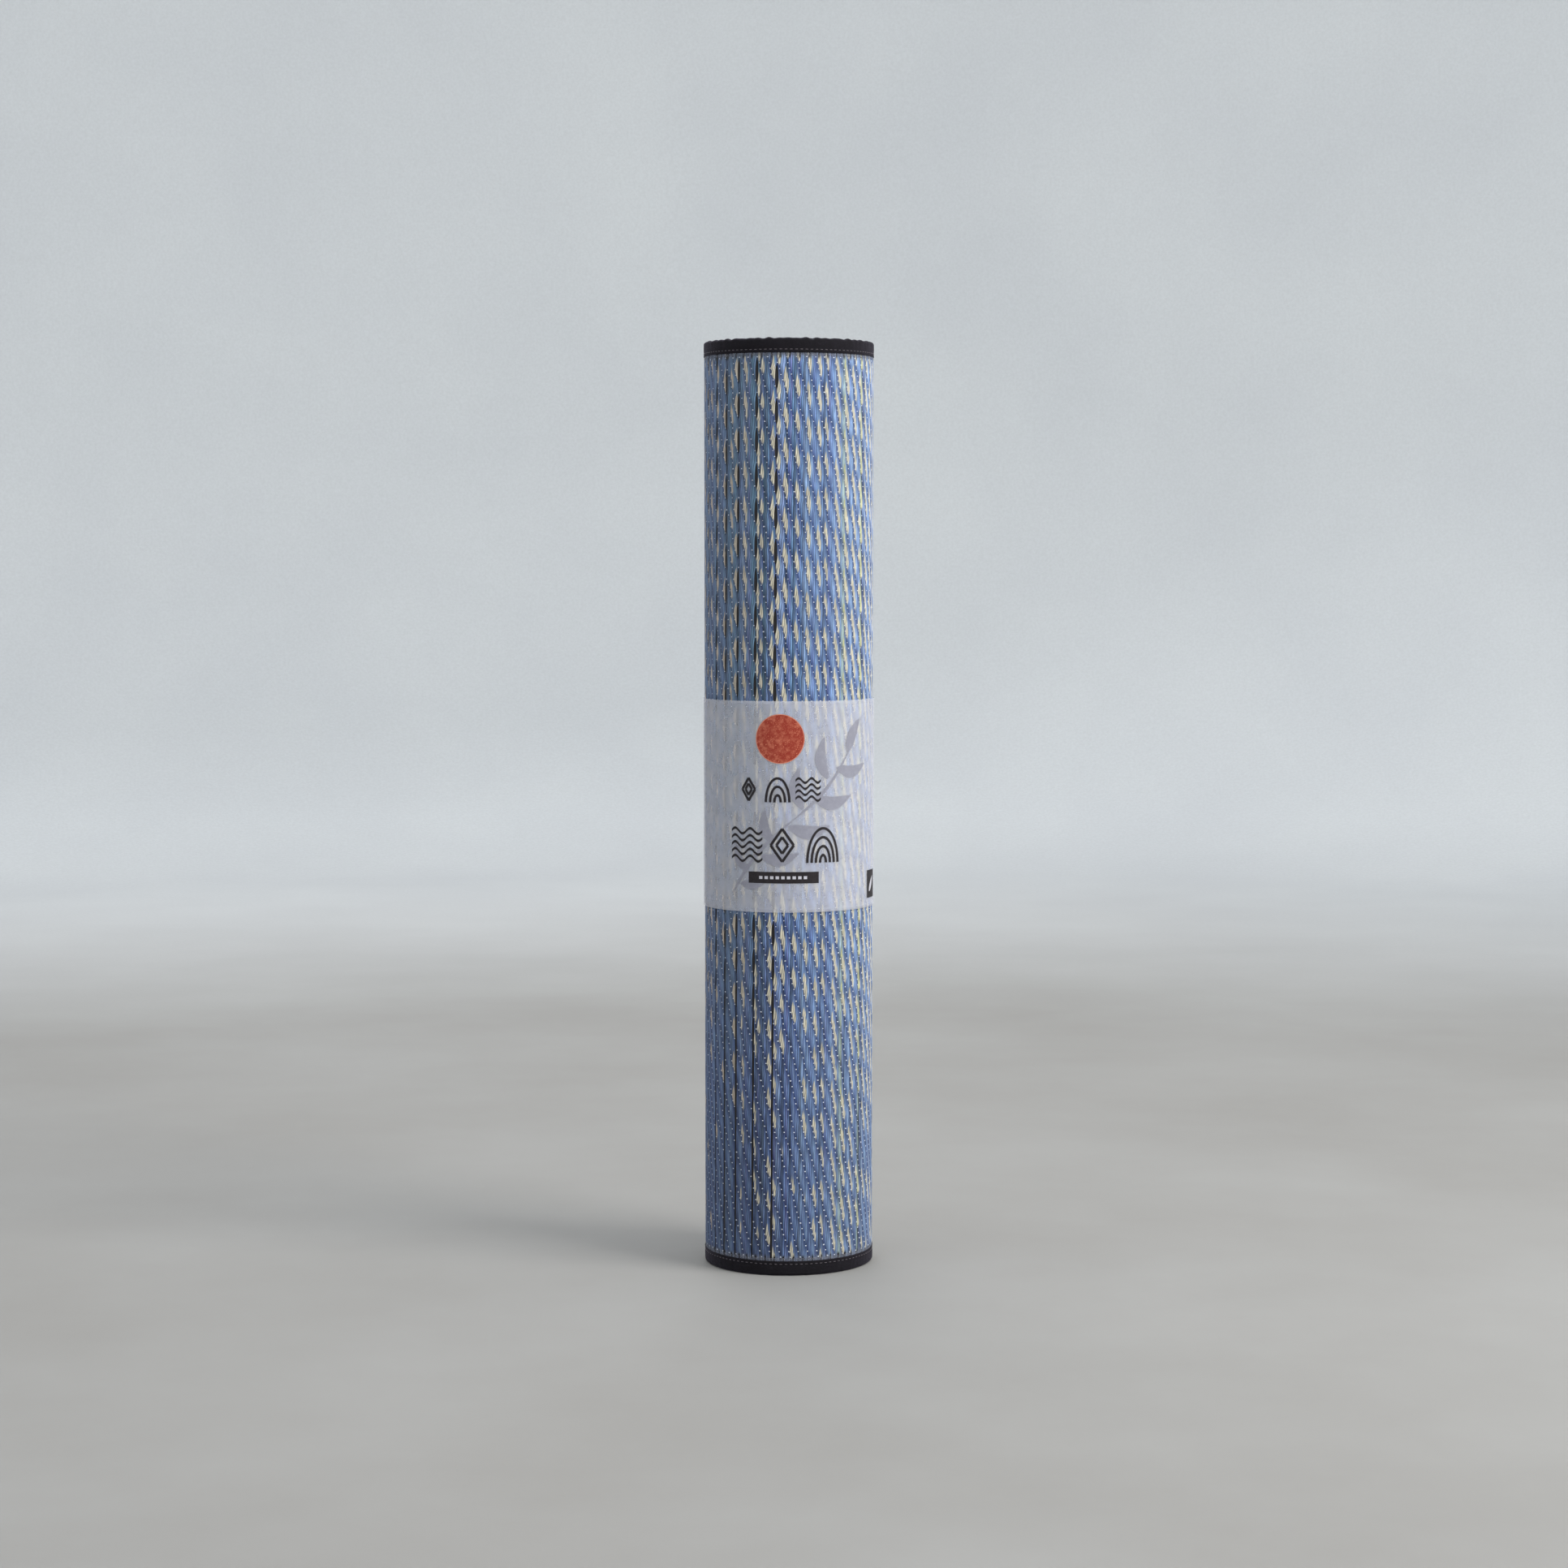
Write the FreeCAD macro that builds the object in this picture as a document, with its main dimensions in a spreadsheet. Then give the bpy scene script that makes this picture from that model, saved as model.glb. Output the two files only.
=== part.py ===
"""A woven rush mat, rolled up and standing on one end, with a paper sleeve round its middle.

The roll stands along +Z. The origin is at the middle of the footprint, on the surface it stands on.
The mat's outer short end is at the back of the roll, at +Y.

Seen from above, the rolled mat is a spiral of half-circle arcs about two centres, a quarter of the
pitch to each side of the roll's middle. The radius grows by half a pitch at each half turn, so
that every layer of the mat is a strip between two such chains of arcs.
"""

import FreeCAD, Part
import math
import os

import Sketcher

HALF_TURNS = 16
PARTS_FOLDER = "parts"

# name, size in millimetres, what it is
DIMENSIONS = (
    ("mat_width", 600, "width of the mat, the height of the roll"),
    ("core_radius", 16.2, "radius of the hollow core at the mat's inner end"),
    ("pitch", 4.8, "radial step from one turn to the next"),
    ("backing_thickness", 0.5, "non-slip cloth on the back of the mat"),
    ("foam_thickness", 1.6, "foam between the rush and the backing"),
    ("rush_thickness", 1.7, "woven rush cloth"),
    ("warp_spacing", 3.69, "step from one warp thread to the next"),
    ("warp_width", 0.5, "warp thread across"),
    ("warp_relief", 0.2, "warp thread above the rush face"),
    ("warp_start", 12, "first warp thread above the floor"),
    ("warp_count", 156, "number of warp threads"),
    ("warp_end_gap", 1, "end of the warp threads to the outer end binding"),
    ("edge_tape_thickness", 0.1, "clear tape over the cut stems"),
    ("edge_tape_shown", 2.5, "clear tape left showing by the top binding"),
    ("binding_cloth", 0.3, "thickness of the binding cloth"),
    ("binding_width", 9.6, "width of the binding on each face"),
    ("seam_inset", 2.2, "seam to the free edge of the binding"),
    ("thread_width", 0.4, "seam thread across"),
    ("thread_depth", 0.15, "how deep the seam thread pulls into the cloth"),
    ("paper_thickness", 0.15, "sleeve paper"),
    ("sleeve_clearance", 0.2, "sleeve to the bindings it slides over"),
    ("sleeve_base", 235, "lower edge of the sleeve above the floor"),
    ("sleeve_height", 135, "height of the sleeve"),
    ("overlap_length", 16, "sleeve paper glued over itself"),
    ("overlap_start", 14, "from the middle of the back to the overlap's free edge"),
    ("glue_thickness", 0.1, "adhesive in the overlap"),
    ("glue_length", 12, "adhesive strip across"),
    ("fold_length", 1, "paper joining the overlap to the sleeve"),
)

# faces of the mat's layers, measured outwards from the back face of the mat
BACK_FACE = "0"
FOAM_BACK = "Sizes.backing_thickness"
RUSH_BACK = "(Sizes.backing_thickness + Sizes.foam_thickness)"
RUSH_FRONT = "(Sizes.backing_thickness + Sizes.foam_thickness + Sizes.rush_thickness)"
TAPE_FRONT = f"({RUSH_FRONT} + Sizes.edge_tape_thickness)"
BINDING_BACK = "(-Sizes.binding_cloth)"
BINDING_FRONT = f"({TAPE_FRONT} + Sizes.binding_cloth)"
END_BINDING_FRONT = f"({RUSH_FRONT} + Sizes.binding_cloth)"

# heights of the pieces above the floor
MAT_BOTTOM = "Sizes.binding_cloth"
MAT_HEIGHT = "(Sizes.mat_width - 2 * Sizes.binding_cloth)"
TOP_BINDING_EDGE = "(Sizes.mat_width - Sizes.binding_width)"
TOP_TAPE_EDGE = f"({TOP_BINDING_EDGE} - Sizes.edge_tape_shown)"
TOP_TAPE_HEIGHT = f"(Sizes.mat_width - Sizes.binding_cloth - {TOP_TAPE_EDGE})"
BOTTOM_TAPE_HEIGHT = "(Sizes.binding_width - Sizes.binding_cloth)"
END_BINDING_HEIGHT = f"({TOP_TAPE_EDGE} - Sizes.binding_width)"

# the sleeve's inner face, outwards from the back face of the mat
SLEEVE_INSIDE = f"({BINDING_FRONT} + Sizes.sleeve_clearance)"
SLEEVE_OUTSIDE = f"({SLEEVE_INSIDE} + Sizes.paper_thickness)"

doc = FreeCAD.newDocument("RolledMat")
sheet = doc.addObject("Spreadsheet::Sheet", "Sizes")
pieces = []


def fill_sheet():
    for row, (name, size, meaning) in enumerate(DIMENSIONS, start=1):
        sheet.set(f"A{row}", str(size))
        sheet.setAlias(f"A{row}", name)
        sheet.set(f"B{row}", meaning)
    doc.recompute()


def value(expression):
    return float(sheet.evalExpression(expression))


def new_piece(label, base_z):
    """Starts a body whose own origin is the spiral's middle, at a height above the floor."""
    body = doc.addObject("PartDesign::Body", label)
    body.Label = label
    body.AllowCompound = True
    body.setExpression("Placement.Base.x", "-Sizes.pitch / 4")
    body.setExpression("Placement.Base.y", "-Sizes.pitch / 4")
    body.setExpression("Placement.Base.z", base_z)
    pieces.append(body)
    return body


class Outline:
    """A sketch in plan view, on the XY plane of a body, at a height above the body's origin."""

    def __init__(self, body, height="0"):
        self.sketch = body.newObject("Sketcher::SketchObject", body.Label + "_outline")
        plane = next(f for f in body.Origin.OriginFeatures if f.Role == "XY_Plane")
        self.sketch.AttachmentSupport = [(plane, "")]
        self.sketch.MapMode = "FlatFace"
        self.sketch.setExpression("AttachmentOffset.Base.z", height)
        self.centres = [self.add_centre(-1), self.add_centre(1)]

    def constrain(self, kind, *where):
        return self.sketch.addConstraint(Sketcher.Constraint(kind, *where))

    def drive(self, kind, *where, size):
        """Adds a dimension that follows an expression."""
        index = self.constrain(kind, *where, value(size))
        self.sketch.setExpression(f"Constraints[{index}]", size)

    def add_centre(self, side):
        """Adds the centre of the left-hand half turns (side -1) or the right-hand ones (side 1)."""
        place = FreeCAD.Vector(0, side * value("Sizes.pitch / 4"), 0)
        point = self.sketch.addGeometry(Part.Point(place), True)
        self.constrain("PointOnObject", point, 1, -2)
        lower, upper = (-1, point) if side > 0 else (point, -1)
        self.drive("DistanceY", lower, 1, upper, 1, size="Sizes.pitch / 4")
        return point

    def add_arc(self, half_turn, radius, start, end):
        """Adds an arc, anticlockwise, about the centre of a half turn, between two angles in degrees."""
        centre = self.sketch.getPoint(self.centres[half_turn % 2], 1)
        circle = Part.Circle(centre, FreeCAD.Vector(0, 0, 1), radius)
        arc = Part.ArcOfCircle(circle, math.radians(start), math.radians(end))
        return self.sketch.addGeometry(arc, False)

    def centre_arc(self, arc, half_turn):
        """Describes the constraint that keeps an arc on the centre of a half turn."""
        return Sketcher.Constraint("Coincident", arc, 3, self.centres[half_turn % 2], 1)

    def add_line(self, first, first_end, second, second_end):
        """Joins one end of a curve to one end of another."""
        places = [self.sketch.getPoint(first, first_end), self.sketch.getPoint(second, second_end)]
        line = self.sketch.addGeometry(Part.LineSegment(*places), False)
        self.constrain("Coincident", line, 1, first, first_end)
        self.constrain("Coincident", line, 2, second, second_end)
        return line


def spiral_radius(half_turn, face):
    return f"Sizes.core_radius + {half_turn} * Sizes.pitch / 2 + {face}"


def add_spiral_chain(outline, face, half_turns):
    """Adds one face of a layer as a chain of half circles, from the core outwards."""
    chain = []
    joints = []
    for half_turn in half_turns:
        start = 90 if half_turn % 2 == 0 else -90
        arc = outline.add_arc(half_turn, value(spiral_radius(half_turn, face)), start, start + 180)
        if chain:
            joints.append(Sketcher.Constraint("Coincident", chain[-1], 2, arc, 1))
        else:
            joints.append(Sketcher.Constraint("PointOnObject", arc, 1, -2))
        joints.append(Sketcher.Constraint("PointOnObject", arc, 2, -2))
        joints.append(outline.centre_arc(arc, half_turn))
        chain.append(arc)
    outline.sketch.addConstraint(joints)
    outline.drive("Radius", chain[0], size=spiral_radius(half_turns[0], face))
    return chain


def spiral_strip(body, inner_face, outer_face, height="0"):
    """Draws the plan of a layer that follows the whole spiral."""
    outline = Outline(body, height)
    inner = add_spiral_chain(outline, inner_face, range(HALF_TURNS))
    outer = add_spiral_chain(outline, outer_face, range(HALF_TURNS))
    outline.add_line(inner[0], 1, outer[0], 1)
    outline.add_line(inner[-1], 2, outer[-1], 2)
    return outline.sketch


def short_strip(body, half_turn, inner_face, outer_face, from_x, to_x, height="0"):
    """Draws the plan of a strip along part of a half turn at the back of the roll, between two
    distances along X, of which the first is further to the right."""
    outline = Outline(body, height)
    arcs = []
    for face in (inner_face, outer_face):
        size = spiral_radius(half_turn, face)
        radius = value(size)
        angles = [math.degrees(math.acos(value(distance) / radius)) for distance in (from_x, to_x)]
        arc = outline.add_arc(half_turn, radius, *angles)
        outline.sketch.addConstraint(outline.centre_arc(arc, half_turn))
        outline.drive("Radius", arc, size=size)
        arcs.append(arc)
    for arc_end, distance in ((1, from_x), (2, to_x)):
        line = outline.add_line(arcs[0], arc_end, arcs[1], arc_end)
        outline.constrain("Vertical", line)
        set_distance_from_middle(outline, line, distance)
    return outline.sketch


def set_distance_from_middle(outline, curve, distance):
    """Holds the start of a curve at a signed distance along X from the spiral's middle."""
    if abs(value(distance)) < 1e-9:
        outline.constrain("PointOnObject", curve, 1, -2)
    elif value(distance) > 0:
        outline.drive("DistanceX", -1, 1, curve, 1, size=distance)
    else:
        outline.drive("DistanceX", curve, 1, -1, 1, size=f"-{distance}")


def volume_of(body):
    return 0 if body.Shape.isNull() else body.Shape.Volume


def add_pad(body, sketch, length):
    """Raises the sketch, and checks that it added something."""
    before = volume_of(body)
    pad = body.newObject("PartDesign::Pad", body.Label + "_pad")
    pad.Profile = sketch
    pad.setExpression("Length", length)
    doc.recompute()
    assert volume_of(body) > before + 1, f"the pad in {body.Label} adds nothing"
    return pad


def add_pocket(body, sketch, length):
    """Cuts upwards from the sketch, and checks that it took something away."""
    before = volume_of(body)
    pocket = body.newObject("PartDesign::Pocket", body.Label + "_pocket")
    pocket.Profile = sketch
    pocket.Reversed = True
    pocket.setExpression("Length", length)
    doc.recompute()
    assert volume_of(body) < before - 1, f"the pocket in {body.Label} cuts nothing"


def make_layer(label, inner_face, outer_face, base_z=MAT_BOTTOM, height=MAT_HEIGHT):
    """Makes a layer of the mat that follows the whole spiral."""
    body = new_piece(label, base_z)
    add_pad(body, spiral_strip(body, inner_face, outer_face), height)


def make_warp_threads():
    """Makes the warp threads where they show, on the outermost turn, short of the end binding."""
    body = new_piece("warp_threads", "Sizes.warp_start")
    outline = Outline(body)
    last = HALF_TURNS - 1
    end = "(Sizes.binding_width + Sizes.warp_end_gap)"
    chains = []
    for face in (RUSH_FRONT, f"({RUSH_FRONT} + Sizes.warp_relief)"):
        first_arc = add_spiral_chain(outline, face, [last - 1])[0]
        radius = value(spiral_radius(last, face))
        stop = math.degrees(math.acos(value(end) / radius))
        second_arc = outline.add_arc(last, radius, -90, stop)
        outline.sketch.addConstraint(outline.centre_arc(second_arc, last))
        outline.constrain("Coincident", first_arc, 2, second_arc, 1)
        chains.append((first_arc, second_arc))
    outline.add_line(chains[0][0], 1, chains[1][0], 1)
    end_line = outline.add_line(chains[0][1], 2, chains[1][1], 2)
    outline.constrain("Vertical", end_line)
    set_distance_from_middle(outline, end_line, end)
    pad = add_pad(body, outline.sketch, "Sizes.warp_width")
    repeat = body.newObject("PartDesign::LinearPattern", "warp_repeat")
    repeat.Originals = [pad]
    axis = next(f for f in body.Origin.OriginFeatures if f.Role == "Z_Axis")
    repeat.Direction = (axis, [""])
    repeat.setExpression("Length", "(Sizes.warp_count - 1) * Sizes.warp_spacing")
    repeat.setExpression("Occurrences", "Sizes.warp_count")
    body.Tip = repeat
    doc.recompute()


def make_edge_binding(edge, base_z, fold_at_top):
    """Makes the cloth tape folded over a long edge of the mat, and the two threads of its seam."""
    body = new_piece(f"{edge}_binding", base_z)
    add_pad(body, spiral_strip(body, BINDING_BACK, BINDING_FRONT), "Sizes.binding_width")
    slot_base = "0" if fold_at_top else "Sizes.binding_cloth"
    slot = spiral_strip(body, BACK_FACE, TAPE_FRONT, slot_base)
    add_pocket(body, slot, "Sizes.binding_width - Sizes.binding_cloth")
    seam = "Sizes.seam_inset" if fold_at_top else "(Sizes.binding_width - Sizes.seam_inset)"
    faces = {
        "needle": (f"({BINDING_FRONT} - Sizes.thread_depth)", BINDING_FRONT),
        "bobbin": (BINDING_BACK, f"({BINDING_BACK} + Sizes.thread_depth)"),
    }
    for thread, (inner_face, outer_face) in faces.items():
        add_pocket(body, spiral_strip(body, inner_face, outer_face, seam), "Sizes.thread_width")
        name = f"{edge}_binding_{thread}_thread"
        make_layer(name, inner_face, outer_face, f"{base_z} + {seam}", "Sizes.thread_width")


def make_end_binding(end, half_turn, side):
    """Makes the tape folded over a short end of the mat, and its threads. The mat lies to the right
    of its outer end (side 1) and to the left of its inner end (side -1)."""
    height = END_BINDING_HEIGHT
    body = new_piece(f"{end}_end_binding", "Sizes.binding_width")

    def strip(piece, inner_face, outer_face, first, second):
        places = sorted((first, second), key=lambda distance: -value(distance))
        return short_strip(piece, half_turn, inner_face, outer_face, *places)

    def along(distance):
        return f"({side} * {distance})"

    free_edges = along("Sizes.binding_width")
    whole = strip(body, BINDING_BACK, END_BINDING_FRONT, free_edges, along("-Sizes.binding_cloth"))
    add_pad(body, whole, height)
    add_pocket(body, strip(body, BACK_FACE, RUSH_FRONT, free_edges, "0"), height)
    seam = (
        along("(Sizes.binding_width - Sizes.seam_inset)"),
        along("(Sizes.binding_width - Sizes.seam_inset - Sizes.thread_width)"),
    )
    faces = {
        "needle": (f"({END_BINDING_FRONT} - Sizes.thread_depth)", END_BINDING_FRONT),
        "bobbin": (BINDING_BACK, f"({BINDING_BACK} + Sizes.thread_depth)"),
    }
    for thread, (inner_face, outer_face) in faces.items():
        add_pocket(body, strip(body, inner_face, outer_face, *seam), height)
        line = new_piece(f"{end}_end_{thread}_thread", "Sizes.binding_width")
        add_pad(line, strip(line, inner_face, outer_face, *seam), height)


def add_sleeve_loop(outline, face):
    """Adds one face of the sleeve: it follows the outermost turn, and bridges the step behind the
    mat's outer end in a straight line."""
    last = HALF_TURNS - 1
    corner = "(Sizes.binding_cloth + Sizes.sleeve_clearance)"
    right_size = spiral_radius(last, face)
    left_size = spiral_radius(last - 1, face)
    right_radius, left_radius = value(right_size), value(left_size)
    lean = math.acos(left_radius / (right_radius + value("Sizes.pitch / 2")))
    corner_angle = 90 + math.degrees(math.asin(value(corner) / right_radius))
    right = outline.add_arc(last, right_radius, -90, corner_angle)
    left = outline.add_arc(last - 1, left_radius, 90 + math.degrees(lean), 270)
    outline.sketch.addConstraint([outline.centre_arc(right, last), outline.centre_arc(left, last - 1)])
    outline.drive("Radius", right, size=right_size)
    outline.constrain("PointOnObject", right, 1, -2)
    outline.constrain("Coincident", left, 2, right, 1)
    outline.drive("DistanceX", right, 2, -1, 1, size=corner)
    places = [outline.sketch.getPoint(right, 2), outline.sketch.getPoint(left, 1)]
    bridge = outline.sketch.addGeometry(Part.LineSegment(*places), False)
    outline.constrain("Coincident", bridge, 1, right, 2)
    outline.constrain("Tangent", bridge, 2, left, 1)


def make_sleeve():
    """Makes the paper band, closed by an overlap at the back, and the adhesive in the overlap."""
    sleeve = new_piece("paper_sleeve", "Sizes.sleeve_base")
    outline = Outline(sleeve)
    for face in (SLEEVE_INSIDE, SLEEVE_OUTSIDE):
        add_sleeve_loop(outline, face)
    add_pad(sleeve, outline.sketch, "Sizes.sleeve_height")

    last = HALF_TURNS - 1
    glue_face = f"({SLEEVE_OUTSIDE} + Sizes.glue_thickness)"
    flap_face = f"({glue_face} + Sizes.paper_thickness)"
    inside_paper = f"({SLEEVE_OUTSIDE} - Sizes.paper_thickness / 2)"
    free_edge = "Sizes.overlap_start"
    root = "(Sizes.overlap_start + Sizes.overlap_length)"
    fold_edge = f"({root} - Sizes.fold_length)"
    glue_edge = "(Sizes.overlap_start + Sizes.glue_length)"
    flap = short_strip(sleeve, last, glue_face, flap_face, root, free_edge)
    add_pad(sleeve, flap, "Sizes.sleeve_height")
    fold = short_strip(sleeve, last, inside_paper, flap_face, root, fold_edge)
    add_pad(sleeve, fold, "Sizes.sleeve_height")

    glue = new_piece("sleeve_glue_strip", "Sizes.sleeve_base")
    strip = short_strip(glue, last, SLEEVE_OUTSIDE, glue_face, glue_edge, free_edge)
    add_pad(glue, strip, "Sizes.sleeve_height")


def check_pieces():
    """Stops if anything failed to compute, or came out empty or broken."""
    for thing in doc.Objects:
        failed = {"Invalid", "Error"} & set(thing.State)
        assert not failed, f"{thing.Label}: {thing.State}"
    for body in pieces:
        assert not body.Shape.isNull(), f"{body.Label} is empty"
        assert body.Shape.isValid(), f"{body.Label} is not valid"
        box = body.Shape.BoundBox
        print(f"{body.Label:34s} solids {len(body.Shape.Solids):4d}  z {box.ZMin:7.2f} to {box.ZMax:7.2f}")


def write_pieces():
    os.makedirs(PARTS_FOLDER, exist_ok=True)
    for body in pieces:
        body.Shape.exportStep(os.path.join(PARTS_FOLDER, body.Label + ".step"))


def report_size():
    length = sum(
        math.pi * value(spiral_radius(half_turn, f"{RUSH_FRONT} / 2")) for half_turn in range(HALF_TURNS)
    )
    box = FreeCAD.BoundBox()
    for body in pieces:
        box.add(body.Shape.BoundBox)
    print(f"mat length {length:.0f} mm; roll {box.XLength:.2f} x {box.YLength:.2f} x {box.ZLength:.2f} mm")
    print(f"middle of the footprint {box.Center.x:.3f}, {box.Center.y:.3f}; lowest point {box.ZMin:.3f}")


fill_sheet()
make_layer("rush_face", RUSH_BACK, RUSH_FRONT)
make_warp_threads()
make_layer("foam_core", FOAM_BACK, RUSH_BACK)
make_layer("nonslip_backing", BACK_FACE, FOAM_BACK)
make_layer("top_edge_tape", RUSH_FRONT, TAPE_FRONT, TOP_TAPE_EDGE, TOP_TAPE_HEIGHT)
make_layer("bottom_edge_tape", RUSH_FRONT, TAPE_FRONT, MAT_BOTTOM, BOTTOM_TAPE_HEIGHT)
make_edge_binding("top", TOP_BINDING_EDGE, fold_at_top=True)
make_edge_binding("bottom", "0", fold_at_top=False)
make_end_binding("outer", HALF_TURNS - 1, side=1)
make_end_binding("inner", 0, side=-1)
make_sleeve()
doc.recompute()
check_pieces()
write_pieces()
report_size()
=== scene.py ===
"""A rolled rush mat with bound edges, held by a paper sleeve, standing on its end."""

import math

import bpy
import numpy as np
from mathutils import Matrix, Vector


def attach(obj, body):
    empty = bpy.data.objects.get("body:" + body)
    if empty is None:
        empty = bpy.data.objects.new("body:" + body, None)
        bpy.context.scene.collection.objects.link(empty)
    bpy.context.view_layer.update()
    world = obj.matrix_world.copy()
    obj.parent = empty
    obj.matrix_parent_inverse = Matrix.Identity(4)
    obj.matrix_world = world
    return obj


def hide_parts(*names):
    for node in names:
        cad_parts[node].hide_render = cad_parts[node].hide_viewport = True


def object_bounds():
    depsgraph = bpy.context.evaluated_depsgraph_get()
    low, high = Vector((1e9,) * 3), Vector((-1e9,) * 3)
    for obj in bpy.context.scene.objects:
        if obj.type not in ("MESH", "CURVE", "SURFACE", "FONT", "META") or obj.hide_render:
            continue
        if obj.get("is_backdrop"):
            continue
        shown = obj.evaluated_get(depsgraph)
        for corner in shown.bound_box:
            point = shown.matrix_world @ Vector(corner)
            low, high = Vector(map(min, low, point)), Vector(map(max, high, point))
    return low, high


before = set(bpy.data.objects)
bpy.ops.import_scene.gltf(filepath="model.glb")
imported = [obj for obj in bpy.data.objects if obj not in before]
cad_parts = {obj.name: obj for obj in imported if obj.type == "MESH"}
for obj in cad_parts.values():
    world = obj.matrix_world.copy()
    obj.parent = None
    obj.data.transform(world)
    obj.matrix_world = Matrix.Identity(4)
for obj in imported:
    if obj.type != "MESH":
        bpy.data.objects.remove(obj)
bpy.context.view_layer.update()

MM = 0.001

# The roll is drawn as half turns, whose middles take turns at two places.
MIDDLE_X = -1.2 * MM
EVEN_MIDDLE_Y = -2.4 * MM
CORE_RADIUS = 16.2 * MM
HALF_PITCH = 2.4 * MM
HALF_TURNS = 16
OUTER_TURN = (HALF_TURNS - 2) * math.pi
MAT_WIDTH = 600 * MM

# Layers, as distances outward from the mat's back face.
BACKING_FRONT = 0.5 * MM
FOAM_FRONT = 2.1 * MM
RUSH_FRONT = 3.8 * MM
TAPE_FRONT = 3.9 * MM
BINDING_BACK = -0.3 * MM
BINDING_FRONT = 4.2 * MM
END_BINDING_FRONT = 4.1 * MM

BINDING_WIDTH = 9.6 * MM
TAPE_WIDTH = 12.1 * MM
SEAM_HEIGHT = 7.6 * MM
CLOTH = 0.35 * MM

# The weave.
STEMS = 330
WARP = 3.69 * MM
WARP_START = 12 * MM
TIE_REPEAT = 6
REPEAT = TIE_REPEAT * WARP
WEAVE_ROWS = 317
ROW_STEP = WARP / 2
GROOVE = 0.5 * MM

# The paper sleeve.
SLEEVE_LOW = 235 * MM
SLEEVE_HIGH = 370 * MM
SLEEVE_OUTSIDE = 4.55 * MM
PAPER = 0.15 * MM

random = np.random.default_rng(7)


# ---- colours


def srgb(red, green, blue):
    """A linear colour from numbers of 0 to 255."""
    colour = np.array([red, green, blue]) / 255.0
    return np.where(colour <= 0.04045, colour / 12.92, ((colour + 0.055) / 1.055) ** 2.4)


DEEP_BLUE = srgb(46, 70, 134)
PERIWINKLE = srgb(108, 132, 188)
SKY = srgb(140, 168, 204)
TEAL = srgb(74, 130, 156)
PURPLE = srgb(106, 102, 162)
SHEEN_PALE = srgb(186, 196, 214)
CREAM = srgb(212, 205, 184)
ROSE_CREAM = srgb(206, 190, 172)
LEAF_GREEN = srgb(196, 208, 128)
SHADOW_BROWN = srgb(24, 18, 20)
SHADE_GREY = srgb(92, 104, 112)
BY_BINDING_GREY = srgb(128, 132, 142)


# ---- the spiral


def spiral(turn, out):
    """Plan places on the roll at these turn angles, this far outside the mat's back face."""
    half = np.clip(np.floor(turn / math.pi), 0, HALF_TURNS - 1)
    radius = CORE_RADIUS + HALF_PITCH * half + out
    middle_y = np.where(half % 2 == 0, EVEN_MIDDLE_Y, 0.0)
    return MIDDLE_X - radius * np.sin(turn), middle_y + radius * np.cos(turn)


def spiral_points(turn, out, height):
    return np.stack([*spiral(turn, out), height], axis=-1)


def outward_at(turn):
    return np.stack([-np.sin(turn), np.cos(turn), 0 * turn], axis=-1)


def along_at(turn):
    return np.stack([-np.cos(turn), -np.sin(turn), 0 * turn], axis=-1)


def length_marks(out=RUSH_FRONT):
    """Length along the mat at the ends of its half turns."""
    radii = CORE_RADIUS + HALF_PITCH * np.arange(HALF_TURNS) + out
    return np.concatenate([[0.0], np.cumsum(math.pi * radii)])


LENGTHS = length_marks()
TURNS = math.pi * np.arange(HALF_TURNS + 1)
MAT_LENGTH = LENGTHS[-1]


def turn_at(length):
    return np.interp(length, LENGTHS, TURNS)


def length_at(turn):
    return np.interp(turn, TURNS, LENGTHS)


OUTER_START = length_at(OUTER_TURN)


def even_steps(start, end, step):
    count = max(2, int(round((end - start) / step)) + 1)
    return np.linspace(start, end, count)


def ease(value):
    value = np.clip(value, 0, 1)
    return value * value * (3 - 2 * value)


def rise(value, start, span):
    """From 0 at start to 1 a span further on, with soft ends."""
    return ease((value - start) / span)


def hump(value, width):
    """1 at 0, and nearly nothing two widths away."""
    return np.exp(-((value / width) ** 2))


def ripple(place, periods, seed):
    """A smooth irregular wave from -1 to 1, the same at every run."""
    draw = np.random.default_rng(seed)
    total = np.zeros_like(place)
    for period in periods:
        total = total + np.sin(2 * math.pi * place / period + draw.uniform(0, 2 * math.pi))
    return total / len(periods)


# ---- meshes


def signed_volume(points, faces):
    total = 0.0
    for group in faces:
        first = points[group[:, 0]]
        for corner in range(1, group.shape[1] - 1):
            second = points[group[:, corner]]
            third = points[group[:, corner + 1]]
            total += np.einsum("ij,ij->i", first, np.cross(second, third)).sum()
    return total / 6


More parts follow.
